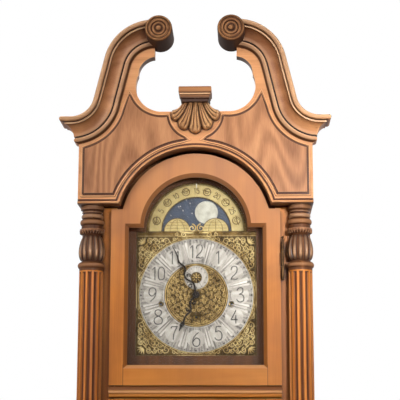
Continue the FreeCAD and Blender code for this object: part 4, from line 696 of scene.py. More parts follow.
def arc(x, z, radius, sweep, count):
    """Points along an arc, anticlockwise from the right."""
    angles = [sweep * k / count for k in range(count + 1)]
    return [(x + radius * math.cos(angle), z + radius * math.sin(angle)) for angle in angles]


def turned(x, z, angle):
    """A point turned clockwise round the origin."""
    return x * math.cos(angle) + z * math.sin(angle), z * math.cos(angle) - x * math.sin(angle)


def circle_stroke(x, z, radius, width, sweep=2 * math.pi):
    """A stroke of even width round a circle, or along an arc of it from the right."""
    count = max(6, round(48 * sweep / (2 * math.pi)))
    return [(*point, width) for point in arc(x, z, radius, sweep, count)]


def scroll(x, z, radius, start, turns, width, hand=1):
    """A spiral stroke that winds in to a round eye."""
    eye, thinning = 0.18, 0.35
    count = max(8, round(12 * abs(turns)))
    points = []
    for step in range(count + 1):
        share = step / count
        reach = radius * (1 - (1 - eye) * share)
        angle = start + hand * turns * 2 * math.pi * share
        points.append((x + reach * math.cos(angle), z + reach * math.sin(angle),
                       width * (1 - thinning * share)))
    points.append((*points[-1][:2], width * 1.35))
    return points


def leaf(x, z, length, angle, width, bend=0.25):
    """A tapering stroke with a fat belly and a fine tip, bent to one side."""
    points = []
    for share, fat in ((0, 0.3), (0.25, 0.85), (0.5, 1), (0.8, 0.6), (1, 0.12)):
        along, aside = turned(length * share, length * bend * share * share, -angle)
        points.append((x + along, z + aside, width * fat))
    return points


# Case carving

ARCH_STEPS = 72
BEAD_SECTION = ((0, 0), (0, 2.6), (1.2, 4.2), (3.4, 5), (5.6, 4.2), (6.8, 2.6), (7.2, 0))
# Place and width of a dark line of painted shade beside the bead
SHADE_LINE_OUT = 9.4
SHADE_LINE_WIDTH = 4.6
LINE_DEPTH = 0.2


def arch_edge(step, out):
    """A point (x, z) along the frieze's lower edge and over its arch, a distance out from that edge."""
    radius = FRIEZE_RADIUS + out
    low = math.asin((FRIEZE_BOTTOM + out - ARCH_Z) / radius)
    angle = math.pi - low - (math.pi - 2 * low) * min(max(step / ARCH_STEPS, 0), 1)
    x = radius * math.cos(angle)
    if step < 0:
        x = FRIEZE_LOW.x
    elif step > ARCH_STEPS:
        x = FRIEZE_HIGH.x
    return x, ARCH_Z + radius * math.sin(angle)


def frieze_bead():
    """Half-round bead along the frieze's lower edge and round its arch, with a dark line of painted shade
    beside it.
    """
    rows, shade_line = [], []
    for step in range(-1, ARCH_STEPS + 2):
        row = []
        for out, proud in BEAD_SECTION:
            x, z = arch_edge(step, out)
            row.append((x, FRIEZE_FRONT - proud, z))
        rows.append(row)
        shade_line.append((*arch_edge(step, SHADE_LINE_OUT), SHADE_LINE_WIDTH))
    built_piece("frieze_bead", [rows], "frieze")
    stroke_piece("frieze_shade_line", [shade_line], LINE_DEPTH, FRIEZE_FRONT, "line", smooth=False)


GADROONS = 12
COLUMN_SIDES = 192
VASE_ROWS = 18
POST_GAP = 0.2


def lathe_rows(x, profile):
    """Rows of a turned form whose profile can change with the angle, cut flat where it meets the post."""
    rows = []
    for step in range(COLUMN_SIDES):
        angle = 2 * math.pi * step / COLUMN_SIDES
        rows.append([(x + radius * math.sin(angle),
                      min(COLUMN_Y - radius * math.cos(angle), POST_FRONT - POST_GAP), z)
                     for radius, z in profile(angle)])
    return list(zip(*rows))


def vase_profile(angle):
    """The capital's vase: twelve fat lobes that swell low down and close in under the leaf ring."""
    lobe = abs(math.cos(GADROONS * angle / 2)) ** 0.8
    points = [(19, VASE_LOW - 1)]
    for step in range(VASE_ROWS + 1):
        share = step / VASE_ROWS
        swell = math.sin(math.pi * share ** 0.72) ** 0.8
        radius = 18 + 4 * swell + 7.5 * lobe * swell ** 0.6
        points.append((radius, VASE_LOW + (VASE_HIGH - VASE_LOW) * share))
    points.append((18, VASE_HIGH + 1))
    return points


def leaf_ring_profile(angle):
    """A collar whose lower edge is cut into pointed leaves."""
    edge = -65 + 6 * abs(math.sin(GADROONS * angle))
    points = [(20, edge + 3), (24.5, edge), (27.4, edge + 2), (28, -57), (27.4, -53), (20, -52)]
    return [(radius, CAPITAL_TOP + z) for radius, z in points]


def neck_profile(angle):
    """Two turned rings in the hollow under the capital's top, the lower one fatter, alike at every angle."""
    points = [(18, -12), (22.4, -13), (23.4, -14.8), (22.4, -16.6), (20.6, -17.6), (22, -19.2), (23.9, -21.6),
              (24.5, -24.4), (23.9, -27.2), (22, -29.6), (18, -30.5)]
    return [(radius, CAPITAL_TOP + z) for radius, z in points]


def capitals():
    """The carved and turned parts of both capitals."""
    for side, x in (("left", -COLUMN_X), ("right", COLUMN_X)):
        for kind, profile, finish in (("vase", vase_profile, "carved"),
                                      ("leaves", leaf_ring_profile, "leaves"),
                                      ("neck", neck_profile, "turned")):
            built_piece(f"{side}_capital_{kind}", [lathe_rows(x, profile)], finish)


SHELL_LOBES = 5
LOBE_RIBS = 3
SHELL_SPREAD = math.radians(50)
SHELL_FOCUS = SHELL_TOP + 23
SHELL_REACH = SHELL_FOCUS - SHELL_BOTTOM - 4
SHELL_TURNS = 240
SHELL_RINGS = 40
SHELL_GROUND = 3
LOBE_HEIGHT = 6.5
RIB_HEIGHT = 5
CURL_HEIGHT = 6
SHELL_LEAN = 21


def shell_point(angle, out, at_side):
    """A point of the scallop: its angle from straight down, share of the way out, share of height kept."""
    phase = (angle + SHELL_SPREAD) / (2 * SHELL_SPREAD) * SHELL_LOBES
    within = min(max(phase - math.floor(phase), 0), 1) if phase < SHELL_LOBES else 0
    broad = math.sin(math.pi * within) ** 0.6
    ribs = abs(math.sin(math.pi * within * LOBE_RIBS)) ** 0.7
    side = 1 - 0.24 * (abs(angle) / SHELL_SPREAD) ** 1.6
    reach = (SHELL_REACH - 14 + 12 * broad) * side
    start = (SHELL_FOCUS - SHELL_TOP) / math.cos(angle)
    distance = start + (reach - start) * out
    flare = angle * (1 - 0.1 * math.sin(math.pi * out))
    curl = math.exp(-((out - 0.9) / 0.07) ** 2) * broad
    carved = (LOBE_HEIGHT * broad + RIB_HEIGHT * ribs * broad) * (0.3 + 0.7 * out)
    lean = SHELL_LEAN * max(0, 1 - out / 0.3) ** 2
    height = SHELL_GROUND + carved + CURL_HEIGHT * curl + lean
    height *= min(1, (1 - out) / 0.04) ** 0.5 * at_side
    return distance * math.sin(flare), FRIEZE_FRONT - height, SHELL_FOCUS - distance * math.cos(flare)


def shell_relief():
    """A scallop: five lobes of three ribs, hollow under the cap and curled at the lower edge."""
    rows = []
    for ring in range(SHELL_RINGS + 1):
        row = []
        for turn in range(SHELL_TURNS + 1):
            angle = SHELL_SPREAD * (2 * turn / SHELL_TURNS - 1)
            from_side = SHELL_TURNS / 2 - abs(turn - SHELL_TURNS / 2)
            row.append(shell_point(angle, ring / SHELL_RINGS, min(1, from_side / 4) ** 0.5))
        rows.append(row)
    rows.insert(0, [(x, FRIEZE_FRONT, z) for x, _, z in rows[0]])
    shell = built_piece("scallop_shell", [rows], "shell", tube=False)
    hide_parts("shell_carving")


FRONT_DEPTH = 0.2
SAME_POINT = 0.01
LINE_OFFSET = 2.4
LINE_WIDTH = 5
# Extra width of the panel lines where they face down, as painted shadow
LINE_SHADOW_WIDTH = 5
BEAD_OFFSET = 7
BEAD_WIDTH = 5


def front_outlines(node):
    """Closed loops of (x, z) points round a node's front faces, read from its mesh."""
    mesh = NODES[node].data
    front = min(vertex.co.y for vertex in mesh.vertices) + FRONT_DEPTH * MM
    work = bmesh.new()
    work.from_mesh(mesh)
    bmesh.ops.remove_doubles(work, verts=work.verts, dist=SAME_POINT * MM)
    flat = [face for face in work.faces if all(vertex.co.y < front for vertex in face.verts)]
    links = {}
    for face in flat:
        for edge in face.edges:
            if sum(other in flat for other in edge.link_faces) == 1:
                a, b = edge.verts
                links.setdefault(a, []).append(b)
                links.setdefault(b, []).append(a)
    loops = []
    while links:
        loop = [next(iter(links))]
        after = links[loop[0]]
        while after:
            loop.append(after[0])
            after = [vertex for vertex in links[loop[-1]] if vertex not in loop]
        for vertex in loop:
            links.pop(vertex)
        loops.append([(vertex.co.x / MM, vertex.co.z / MM) for vertex in loop])
    work.free()
    return loops


def offset_loop(loop, offset, width, shadow_width):
    """A closed stroke outside a loop of points that runs left-handed, wider where it faces down by a painted
    shadow's width.
    """
    stroke = []
    for step, (x, z) in enumerate(loop):
        before, after = loop[step - 1], loop[(step + 1) % len(loop)]
        first = Vector((x - before[0], z - before[1])).normalized()
        second = Vector((after[0] - x, after[1] - z)).normalized()
        aside = Vector((first.y + second.y, -first.x - second.x))
        facing = aside.normalized()
        reach = min(offset / max(aside.length / 2, 0.35), offset * 2)
        stroke.append((x + facing.x * reach, z + facing.y * reach, width + shadow_width * max(0, -facing.y)))
    stroke.append(stroke[0])
    return stroke


def panel_lines():
    """A dark line of glazing and painted shade round the foot of each raised panel, wider as painted shadow
    where it faces down, and a low bead outside it.
    """
    lines, beads = [], []
    for loop in front_outlines("frieze_panels"):
        if sum(a[0] * b[1] - b[0] * a[1] for a, b in zip(loop, loop[1:] + loop[:1])) < 0:
            loop.reverse()
        lines.append(offset_loop(loop, LINE_OFFSET, LINE_WIDTH, LINE_SHADOW_WIDTH))
        beads.append(offset_loop(loop, BEAD_OFFSET, BEAD_WIDTH, 0))
    stroke_piece("panel_lines", lines, LINE_DEPTH, FRIEZE_FRONT, "line", smooth=False)
    stroke_piece("panel_beads", beads, 0.5, FRIEZE_FRONT, "frieze", smooth=False)


# Numbers, each digit as strokes in a box 1 high

DIGITS = {
    "0": [[(0.27, 1), (0.06, 0.93), (0.03, 0.5), (0.06, 0.07), (0.27, 0), (0.48, 0.07), (0.51, 0.5),
           (0.48, 0.93), (0.27, 1)]],
    "1": [[(0.1, 0.8), (0.2, 0.86), (0.3, 1)], [(0.3, 1), (0.3, 0.5), (0.3, 0)]],
    "2": [[(0.05, 0.74), (0.06, 1), (0.48, 1.06), (0.52, 0.7), (0.36, 0.4), (0.08, 0.2), (0.04, 0.02)],
          [(0.04, 0.02), (0.2, 0.1), (0.4, -0.04), (0.54, 0.12)]],
    "3": [[(0.05, 0.82), (0.1, 1.04), (0.5, 1.06), (0.5, 0.62), (0.2, 0.55)],
          [(0.2, 0.55), (0.56, 0.56), (0.58, 0), (0.1, -0.06), (0.03, 0.18)]],
    "4": [[(0.4, 1), (0.28, 0.7), (0.02, 0.28)], [(0.02, 0.28), (0.3, 0.3), (0.56, 0.28)],
          [(0.4, 0.62), (0.4, 0.3), (0.4, 0)]],
    "5": [[(0.5, 0.98), (0.3, 1), (0.13, 0.98)], [(0.13, 0.98), (0.12, 0.8), (0.08, 0.56)],
          [(0.08, 0.56), (0.3, 0.72), (0.58, 0.5), (0.54, -0.04), (0.1, -0.04), (0.03, 0.16)]],
    "6": [[(0.46, 0.98), (0.2, 0.8), (0, 0.4), (0.06, -0.04), (0.5, -0.08), (0.6, 0.46), (0.2, 0.64),
           (0.08, 0.3)]],
    "7": [[(0.04, 0.84), (0.06, 1), (0.3, 0.96), (0.52, 1)], [(0.52, 1), (0.3, 0.6), (0.22, 0.3), (0.22, 0)]],
    "8": [[(0.28, 0.56), (0.02, 0.66), (0.04, 1.04), (0.5, 1.04), (0.54, 0.66), (0.28, 0.56)],
          [(0.28, 0.56), (-0.06, 0.44), (0, -0.05), (0.56, -0.05), (0.62, 0.44), (0.28, 0.56)]],
    "9": [[(0.1, 0.02), (0.36, 0.2), (0.56, 0.6), (0.5, 1.04), (0.06, 1.08), (-0.04, 0.54), (0.36, 0.36),
           (0.48, 0.7)]],
}
DIGIT_WIDTH = 0.55
DIGIT_GAP = 0.1
ONE_WIDTH = 0.34
ONE_SHIFT = 0.08


def numeral(number, x, z, height, width, turn=0.0):
    """Strokes of a number centred on a point, turned clockwise by an angle."""
    text = str(number)
    widths = [ONE_WIDTH if digit == "1" else DIGIT_WIDTH for digit in text]
    start = -(sum(widths) + DIGIT_GAP * (len(text) - 1)) / 2
    strokes = []
    for digit, room in zip(text, widths):
        shift = start - (ONE_SHIFT if digit == "1" else 0)
        for points in DIGITS[digit]:
            stroke = []
            for across, rise in points:
                u, v = turned((shift + across) * height, (rise - 0.5) * height, turn)
                stroke.append((x + u, z + v, width))
            strokes.append(stroke)
        start += room + DIGIT_GAP
    return strokes


# Dial

HOUR = math.pi / 6
MINUTE = math.pi / 30
NUMERAL_HEIGHT = 30
NUMERAL_WIDTH = 2.2
NUMERAL_RADIUS = 99
PLAQUE_RADIUS = 20.5
RAY_HALF = math.radians(1.3)
RAY_APART = math.radians(3.4)
DOT_RADIUS = 125.5
RIM_WIDTH = 1.6
NUMBER_DEPTH = 0.3
RELIEF_DEPTH = 0.6
LOW_RELIEF = 0.4


def chapter_work():
    """Numerals on pale plaques, rays between them, minute dots and the ring's two rims."""
    plaques = [round_outline(*spot(NUMERAL_RADIUS, hour * HOUR), PLAQUE_RADIUS, 40) for hour in range(12)]
    dots = [round_outline(*spot(DOT_RADIUS, minute * MINUTE), 1.25 if minute % 5 else 1.9, 12)
            for minute in range(60)]
    rays, numerals = [], []
    for hour in range(12):
        for side in (-1, 0, 1):
            angle = (hour + 0.5) * HOUR + side * RAY_APART
            inner, outer = (86, 121) if side else (80, 118)
            corners = ((inner, -0.2), (outer, -1), (outer + 2, 0), (outer, 1), (inner, 0.2))
            rays.append([spot(radius, angle + RAY_HALF * turn) for radius, turn in corners])
    for hour in range(1, 13):
        numerals += numeral(hour, *spot(NUMERAL_RADIUS, hour * HOUR), NUMERAL_HEIGHT, NUMERAL_WIDTH)
    rims = [circle_stroke(0, DIAL_Z, radius, RIM_WIDTH) for radius in (RING_RADIUS - 1, CENTRE_RADIUS + 2.4)]
    slab_piece("numeral_plaques", plaques, RING_FRONT, 0.4, "plaque")
    slab_piece("chapter_rays", rays, RING_FRONT, 0.3, "ray")
    slab_piece("minute_dots", dots, RING_FRONT, 0.3, "black")
    stroke_piece("hour_numerals", numerals, NUMBER_DEPTH, RING_FRONT - 0.5, "ink")
    stroke_piece("chapter_rims", rims, RELIEF_DEPTH, RING_FRONT, "ray")


def small_leaves(seed, count, low, high, allowed):
    """Short leaves and curls strewn between the scrolls, at random in a square, where they are allowed."""
    draw = random.Random(seed)
    strokes = []
    while len(strokes) < count:
        x = draw.uniform(low, high)
        z = draw.uniform(low, high)
        if allowed(x, z):
            bend = draw.choice((-0.5, 0.5))
            turn = draw.uniform(0, 2 * math.pi)
            if draw.random() < 0.4:
                strokes.append(scroll(x, z, draw.uniform(2.4, 3.4), turn, 1.2, 1.2))
            else:
                strokes.append(leaf(x, z, draw.uniform(4, 7), turn, draw.uniform(1.2, 1.8), bend))
    return strokes


# Radius of each ring of foliage, how many scrolls it has and their size
FOLIAGE_RINGS = ((62, 38, 4.4), (53, 32, 4.4), (44, 26, 4.4), (35, 20, 4.4), (26, 15, 4.2), (17, 9, 4.2))
HOLE_DROP = 50
HOLE_RADIUS = 6


def centre_filigree():
    """Scrolling foliage over the dial's middle, in rings round the hands, clear of the seconds ring."""
    def clear(x, z, of_seconds, of_hole):
        from_seconds, from_hole = math.hypot(x, DIAL_Z + z - SECONDS_Z), math.hypot(x, z + HOLE_DROP)
        return from_seconds > SECONDS_RADIUS + of_seconds and from_hole > HOLE_RADIUS + of_hole

    def allowed(x, z):
        return 12 < math.hypot(x, z) < CENTRE_RADIUS - 14 and clear(x, z, 8, 10)

    edges = ((1.6, 2.4), (6, 1.4))
    strokes = [circle_stroke(0, DIAL_Z, CENTRE_RADIUS - inset, width) for inset, width in edges]
    for radius, count, size in FOLIAGE_RINGS:
        for step in range(count):
            angle = 2 * math.pi * (step + 0.5) / count
            x, z = spot(radius, angle, 0)
            if clear(x, z, size * 0.7, size * 0.8):
                hand = 1 if step % 2 else -1
                outward = math.pi / 2 - angle
                strokes.append(scroll(x, DIAL_Z + z, size, angle + step, 1.4, 1.4, hand))
                strokes.append(leaf(x, DIAL_Z + z, size * 1.6, outward + 1.3 * hand, 1.5, 0.5 * hand))
    strokes.append(circle_stroke(0, SECONDS_Z, SECONDS_RADIUS + 1.6, 1.8))
    for stroke in small_leaves(5, 40, -CENTRE_RADIUS, CENTRE_RADIUS, allowed):
        strokes.append([(x, DIAL_Z + z, width) for x, z, width in stroke])
    strokes += [leaf(0, SECONDS_Z, 11, math.pi * step / 4, 3.2, 0) for step in range(8)]
    stroke_piece("centre_filigree", strokes, RELIEF_DEPTH, APPLIQUE_FRONT, "old_gilt",
                 roundness=1)


CORNER_MARGIN = 3
CORNER_START = 30
CORNER_END = 118
CORNER_ROOM = 44


def corner_strokes():
    """One corner's foliage in a frame that starts at the plate's corner and runs inward both ways."""
    strokes = []
    edge_gap = CORNER_MARGIN * 1.5
    for mirror in (False, True):
        v = CORNER_START
        hand = 1
        while v < CORNER_END:
            edge = DIAL_HALF - math.sqrt(max((RING_RADIUS + CORNER_MARGIN) ** 2 - (DIAL_HALF - v) ** 2, 0))
            room = min(edge - edge_gap, CORNER_ROOM)
            rows = max(1, round(room / 14))
            size = max(room / rows / 2, 2.4)
            for row in range(rows):
                u = edge_gap + size * (1 + 2 * row)
                if mirror and v - u < size:
                    continue
                made = [scroll(u, v, size * 0.92, hand * math.pi / 2, 1.35, min(1.7, size * 0.3), hand),
                        leaf(u, v + size * 0.7, size * 1.3, math.pi * (0.5 + 0.18 * hand), 1.8, 0.4 * hand),
                        leaf(u + size * 0.5, v - size * 0.4, size * 1.1, -0.5 * hand, 1.7, -0.4 * hand)]
                strokes += [[(b, a, w) if mirror else (a, b, w) for a, b, w in stroke] for stroke in made]
            v += size * 1.9
            hand = -hand
    for spread in (-0.9, -0.45, 0, 0.45, 0.9):
        strokes.append(leaf(18, 18, 15, math.pi * 1.25 + spread, 3, 0))
    strokes.append(scroll(14, 29, 6, 0, 1.3, 2.2))
    strokes.append(scroll(29, 14, 6, math.pi / 2, 1.3, 2.2, -1))

    def allowed(u, v):
        return math.hypot(DIAL_HALF - u, DIAL_HALF - v) > RING_RADIUS + 10

    return strokes + small_leaves(7, 36, 9, 110, allowed)


def spandrel_filigree():
    """Foliage in the dial's four corners, and a border round the dial."""
    strokes = []
    for side in (-1, 1):
        for level in (-1, 1):
            for stroke in corner_strokes():
                strokes.append([(side * (DIAL_HALF - u), DIAL_Z + level * (DIAL_RISE - v), width)
                                for u, v, width in stroke])
    strokes.append(circle_stroke(0, DIAL_Z, RING_RADIUS + 1.6, 2))
    half, rise = DIAL_HALF - 1.2, DIAL_RISE - 1.2
    corners = [(side * half, DIAL_Z + level * rise, 1.8) for side, level in CORNERS]
    border = [[first, second] for first, second in zip(corners, corners[1:] + corners[:1])]
    stroke_piece("spandrel_filigree", strokes, RELIEF_DEPTH, APPLIQUE_FRONT, "gilt",
                 roundness=1)
    stroke_piece("dial_border", border, RELIEF_DEPTH, PLATE_FRONT, "gilt", smooth=False)


def seconds_work():
    """Marks round the seconds ring, longer and wider at every fifth second."""
    marks = []
    outer = SECONDS_RADIUS - 1.6
    for second in range(60):
        length, half = (3.6, 0.3) if second % 5 else (6, 0.55)
        inner = SECONDS_RADIUS - length
        corners = ((half, inner), (half, outer), (-half, outer), (-half, inner))
        placed = [turned(x, z, second * MINUTE) for x, z in corners]
        marks.append([(x, SECONDS_Z + z) for x, z in placed])
    slab_piece("seconds_marks", marks, SECONDS_FRONT, 0.2, "black")


LUNAR_DAYS = 30
LUNAR_NUMBERS = (5, 10, 15, 20, 25)
LUNAR_MIDDLE = (LUNAR_RADIUS + LUNAR_INNER) / 2
HUMP_PROUD = 0.7
HUMP_LINE = 0.9


def lunar_angle(day):
    """Where a day stands on the lunar ring, clockwise from its top."""
    return (day / LUNAR_DAYS - 0.5) * math.pi


def lunar_work():
    """Day numbers, roundels, rims and a pointer on the lunar ring, and scrolls under the arch."""
    numbers, gold, bracket = [], [], []
    for day in LUNAR_NUMBERS:
        angle = lunar_angle(day)
        numbers += numeral(day, *spot(LUNAR_MIDDLE, angle, ARCH_Z), 12, 1.5, angle)
    for step in range(6):
        angle = lunar_angle(step * 5 + 2.5)
        place = spot(LUNAR_MIDDLE, angle, ARCH_Z)
        outward = math.pi / 2 - angle
        gold += [circle_stroke(*place, 8.5, 2), scroll(*place, 6, outward, 1.3, 1.8)]
        gold += [leaf(*place, 12, outward + turn * 1.1, 2.4, 0.3 * turn) for turn in (-1, 1)]
    for x, radius in ((0, LUNAR_RADIUS - 1), (0, LUNAR_INNER + 1), (-HUMP_X, HUMP_RADIUS),
                      (HUMP_X, HUMP_RADIUS)):
        gold.append(circle_stroke(x, ARCH_Z, radius, RIM_WIDTH, math.pi))
    gold.append([(x, ARCH_Z - 1, 2.2) for x in (-DIAL_HALF + 2, 0, DIAL_HALF - 2)])
    for side in (-1, 1):
        bracket += [scroll(side * 10, ARCH_Z + 7, 10, math.pi / 2, 1.4, 3, side),
                    leaf(side * 6, ARCH_Z - 4, 40, 0 if side > 0 else math.pi, 4.4, 0.12 * side),
                    scroll(side * 28, ARCH_Z - 8, 7, math.pi / 2, 1.3, 2.4, -side),
                    scroll(side * 46, ARCH_Z - 7, 5, math.pi / 2, 1.3, 2, side)]
    top = ARCH_Z + LUNAR_RADIUS
    pointer = [[(0, top + 1, 3.4), (0, top - 9, 0.8)]]
    stroke_piece("arch_bracket", bracket, LOW_RELIEF, APPLIQUE_FRONT, "gilt")
    stroke_piece("lunar_numbers", numbers, NUMBER_DEPTH, APPLIQUE_FRONT - 0.2, "dark_brass")
    stroke_piece("lunar_filigree", gold, LOW_RELIEF, APPLIQUE_FRONT, "aged_brass")
    stroke_piece("lunar_pointer", pointer, LOW_RELIEF, APPLIQUE_FRONT - 0.4, "white",
                 smooth=False)


def humps():
    """The two humps that the moon passes behind, drawn as globes."""
    outlines, lines = [], []
    quarter = [math.pi / 2 * k / 6 for k in range(7)]
    for x in (-HUMP_X, HUMP_X):
        outlines.append(arc(x, ARCH_Z, HUMP_RADIUS - 0.8, math.pi, 32))
        for rise in (7, 14, 21):
            half = math.sqrt(HUMP_RADIUS ** 2 - rise ** 2) - 3
            lines.append([(x - half, ARCH_Z + rise, HUMP_LINE), (x + half, ARCH_Z + rise, HUMP_LINE)])
        for bulge in (-0.55, 0, 0.55):
            lines.append([(x + bulge * HUMP_RADIUS * math.cos(angle),
                           ARCH_Z + (HUMP_RADIUS - 3) * math.sin(angle), HUMP_LINE) for angle in quarter])
    slab_piece("moon_humps", outlines, PLATE_FRONT, HUMP_PROUD, "enamel")
    stroke_piece("hump_lines", lines, LOW_RELIEF, PLATE_FRONT - HUMP_PROUD, "aged_brass")


MOON_RADIUS = 26.5
MOON_ORBIT = 50
MOON_ANGLES = (math.radians(27), math.radians(27) + math.pi)
MOON_SHARES = (1.0, 1.0, 0.94, 0.8, 0.6, 0.4, 0.2, 0.02)
STARS = 46


def moon_work():
    """Two pale moons on opposite sides of the disc, which are low domes, and a field of stars."""
    moons, stars = [], []
    for angle in MOON_ANGLES:
        rows = []
        for share in MOON_SHARES:
            proud = 0.3 + 1.1 * math.sqrt(1 - (share * 0.98) ** 2) if rows else 0
            outline = round_outline(*spot(MOON_ORBIT, angle, ARCH_Z), MOON_RADIUS * share, 64)
            rows.append([(x, MOON_FRONT - proud, z) for x, z in outline])
        moons.append(rows)
    draw = random.Random(11)
    while len(stars) < STARS:
        angle = draw.uniform(0, 2 * math.pi)
        x, z = spot(MOON_DISC_RADIUS * math.sqrt(draw.uniform(0.05, 0.92)), angle, ARCH_Z)
        if min(math.dist((x, z), spot(MOON_ORBIT, moon, ARCH_Z)) for moon in MOON_ANGLES) >= MOON_RADIUS + 4:
            size = draw.uniform(0.9, 1.9)
            stars.append([spot(size * 0.4 if k % 2 else size, math.pi * k / 5, z, x) for k in range(10)])
    built_piece("moons", moons, "moon", "moon")
    slab_piece("moon_stars", stars, MOON_FRONT, 0.3, "white", "moon")


# Place of each winding hole: aside, and down from the dial's middle
WINDING_HOLES = ((-80, 20), (80, 20), (0, HOLE_DROP))
SQUARE_HALF = 2.4


def winding_squares():
    """The squared ends of the winding arbors."""
    squares = [[(x + a * SQUARE_HALF, DIAL_Z - drop + b * SQUARE_HALF) for a, b in CORNERS]
               for x, drop in WINDING_HOLES]
    slab_piece("winding_squares", squares, APPLIQUE_FRONT, 0.6, "black", sunk=2.4)


# Hands

HAND_WEIGHT = 1.2
MINUTE_ANGLE = math.radians(334)
HOUR_ANGLE = math.radians(205)


def hand_piece(name, body, node, strokes, angle):
    """A pierced steel hand drawn pointing up from the middle, turned to the hour that it shows at rest."""
    low, high = span(node)
    placed = []
    for stroke in strokes:
        points = []
        for x, z, width in stroke:
            across, rise = turned(x, z, angle)
            points.append((across, DIAL_Z + rise, width * HAND_WEIGHT))
        placed.append(points)
    made = stroke_piece(name, placed, NUMBER_DEPTH, (low.y + high.y) / 2, "black", body)
    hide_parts(node)


def hands():
    """Serpentine hands: the stem winds from side to side, with a scroll by the hub and a fine tip."""
    hub = [circle_stroke(0, 0, 5.6, 4), circle_stroke(0, 0, 3, 4)]
    minute = [[(0, 4, 4), (5, 16, 3.4), (7, 27, 3), (0, 36, 3), (-6, 44, 3), (-4, 54, 3), (3, 60, 3.2),
               (5, 68, 3), (0, 77, 3), (-3, 85, 2.8), (0, 96, 2.4), (0.6, 110, 1.8), (0, 124, 0.8)],
              scroll(-3, 22, 6, 0.4, 1.1, 2.4), scroll(5, 46, 5, 3.3, 1.1, 2.2, -1),
              scroll(-4, 67, 4, 0.2, 1, 2)]
    hour = [[(0, 4, 4.4), (4, 12, 4), (6, 21, 3.6), (0, 29, 3.6), (-5, 37, 3.6), (-2, 46, 3.4), (2, 54, 3.2),
             (0, 62, 3), (0, 70, 4), (0, 77, 6), (0, 83, 3.6), (0, 91, 0.8)],
            scroll(-3, 17, 5, 0.4, 1.1, 2.4), scroll(4, 38, 4.6, 3.3, 1.1, 2.4, -1),
            leaf(0, 66, 12, math.pi / 2 + 0.7, 3.4, -0.5), leaf(0, 66, 12, math.pi / 2 - 0.7, 3.4, 0.5)]
    hand_piece("serpentine_minute_hand", "minute_motion", "minute_hand", minute + hub, MINUTE_ANGLE)
    hand_piece("serpentine_hour_hand", "hour_motion", "hour_hand", hour + hub, HOUR_ANGLE)


# Weights: place of each cable aside, and the level of its drum

CABLES = (("left", -94, 1538), ("centre", 14, 1508), ("right", 94, 1538))
CABLE_STEPS = 60
CABLE_TURNS = 22
STRANDS = 3
STRAND_OUT = 0.6
STRAND_RADIUS = 0.62
STRAND_SIDES = 6


def cables():
    """Twisted steel cables from the drums down to the weights."""
    low, high = span("weight_cables")
    y = (low.y + high.y) / 2
    for side, x, drum_z in CABLES:
        top = min(high.z, drum_z)
        strands = []
        for strand in range(STRANDS):
            rows = []
            for step in range(CABLE_STEPS + 1):
                share = step / CABLE_STEPS
                angle = 2 * math.pi * (CABLE_TURNS * share + strand / STRANDS)
                middle = (x + STRAND_OUT * math.cos(angle), y + STRAND_OUT * math.sin(angle))
                ring = arc(*middle, STRAND_RADIUS, 2 * math.pi, STRAND_SIDES)[:-1]
                rows.append([(a, b, top + (low.z - top) * share) for a, b in ring])
            strands.append(rows)
        cable = built_piece(f"{side}_cable", strands, "steel", None, False)
        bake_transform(cable)
        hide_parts("weight_cables")


# Stage: each lamp's name, place, aim, size in metres, power in watts and spread in degrees

LAMPS = (
    ("key", (-1.9, -3.0, 2.7), (0, 0, 1.6), 1.2, 48, 180),
    ("right_box", (1.1, -3.2, 1.9), (0.32, -0.1, 1.84), 0.5, 2.9, 28),
)
AMBIENT = 0.21
FLOOR_SIZE = 60
FLOOR_BOUNCE = (104, 84, 66)
FLOOR_LIFT = 0.5
WHITE = (1, 1, 1, 1)


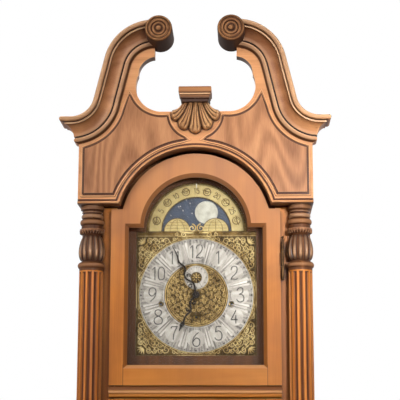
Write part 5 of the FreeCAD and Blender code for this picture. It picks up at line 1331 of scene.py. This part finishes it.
def floor():
    """A pale floor, which throws a browner light back on the clock than the camera sees."""
    bpy.ops.mesh.primitive_plane_add(size=FLOOR_SIZE, location=(0, 0, 0))
    plane = bpy.context.object
    plane.name = "studio_floor"
    finish = Finish("studio_floor", Roughness=0.9, Emission_Color=WHITE)
    pale = finish.ramp(finish.noise(finish.place, 3, 2), (0.3, (236, 236, 235)), (0.7, (240, 240, 239)))
    seen = finish.seen()
    finish.drive("Base Color", finish.mix(seen, FLOOR_BOUNCE, pale))
    finish.drive("Emission Strength", finish.times(seen, FLOOR_LIFT))
    plane.data.materials.append(finish.material)


def light():
    """A white world that lights the clock softly, and the lamps."""
    world = bpy.data.worlds.new("studio")
    bpy.context.scene.world = world
    world.use_nodes = True
    nodes = Nodes(world.node_tree)
    background = world.node_tree.nodes["Background"].inputs
    background["Color"].default_value = WHITE
    nodes.feed(background["Strength"], nodes.share(nodes.seen(), 0, 1, 1, AMBIENT))
    for name, place, aim, size, power, spread in LAMPS:
        data = bpy.data.lights.new(name, "AREA")
        data.energy = power
        data.size = size
        data.spread = math.radians(spread)
        lamp = bpy.data.objects.new(name, data)
        lamp.location = place
        lamp.rotation_euler = (Vector(aim) - Vector(place)).to_track_quat("-Z", "Y").to_euler()
        bpy.context.scene.collection.objects.link(lamp)


def camera():
    """The camera at the photograph's place and angle."""
    data = bpy.data.cameras.new("photo_camera")
    data.sensor_width = SENSOR_WIDTH
    data.lens = FOCAL_PIXELS * SENSOR_WIDTH / IMAGE_SIZE
    data.clip_end = 100
    made = bpy.data.objects.new("photo_camera", data)
    level = Vector((math.cos(CAMERA_YAW), math.sin(CAMERA_YAW), 0))
    inward = Vector((-math.sin(CAMERA_YAW), math.cos(CAMERA_YAW), 0))
    ahead = inward * math.cos(CAMERA_PITCH) + Vector((0, 0, math.sin(CAMERA_PITCH)))
    rise = level.cross(ahead)
    right = level * math.cos(CAMERA_ROLL) + rise * math.sin(CAMERA_ROLL)
    up = rise * math.cos(CAMERA_ROLL) - level * math.sin(CAMERA_ROLL)
    made.matrix_world = Matrix((right, up, -ahead)).transposed().to_4x4()
    made.location = CAMERA_PLACE
    bpy.context.scene.collection.objects.link(made)
    bpy.context.scene.camera = made


dress_nodes()
frieze_bead()
panel_lines()
capitals()
shell_relief()
chapter_work()
centre_filigree()
spandrel_filigree()
seconds_work()
lunar_work()
humps()
moon_work()
winding_squares()
hands()
cables()
floor()
light()
camera()
bpy.context.scene.view_settings.view_transform = "Standard"
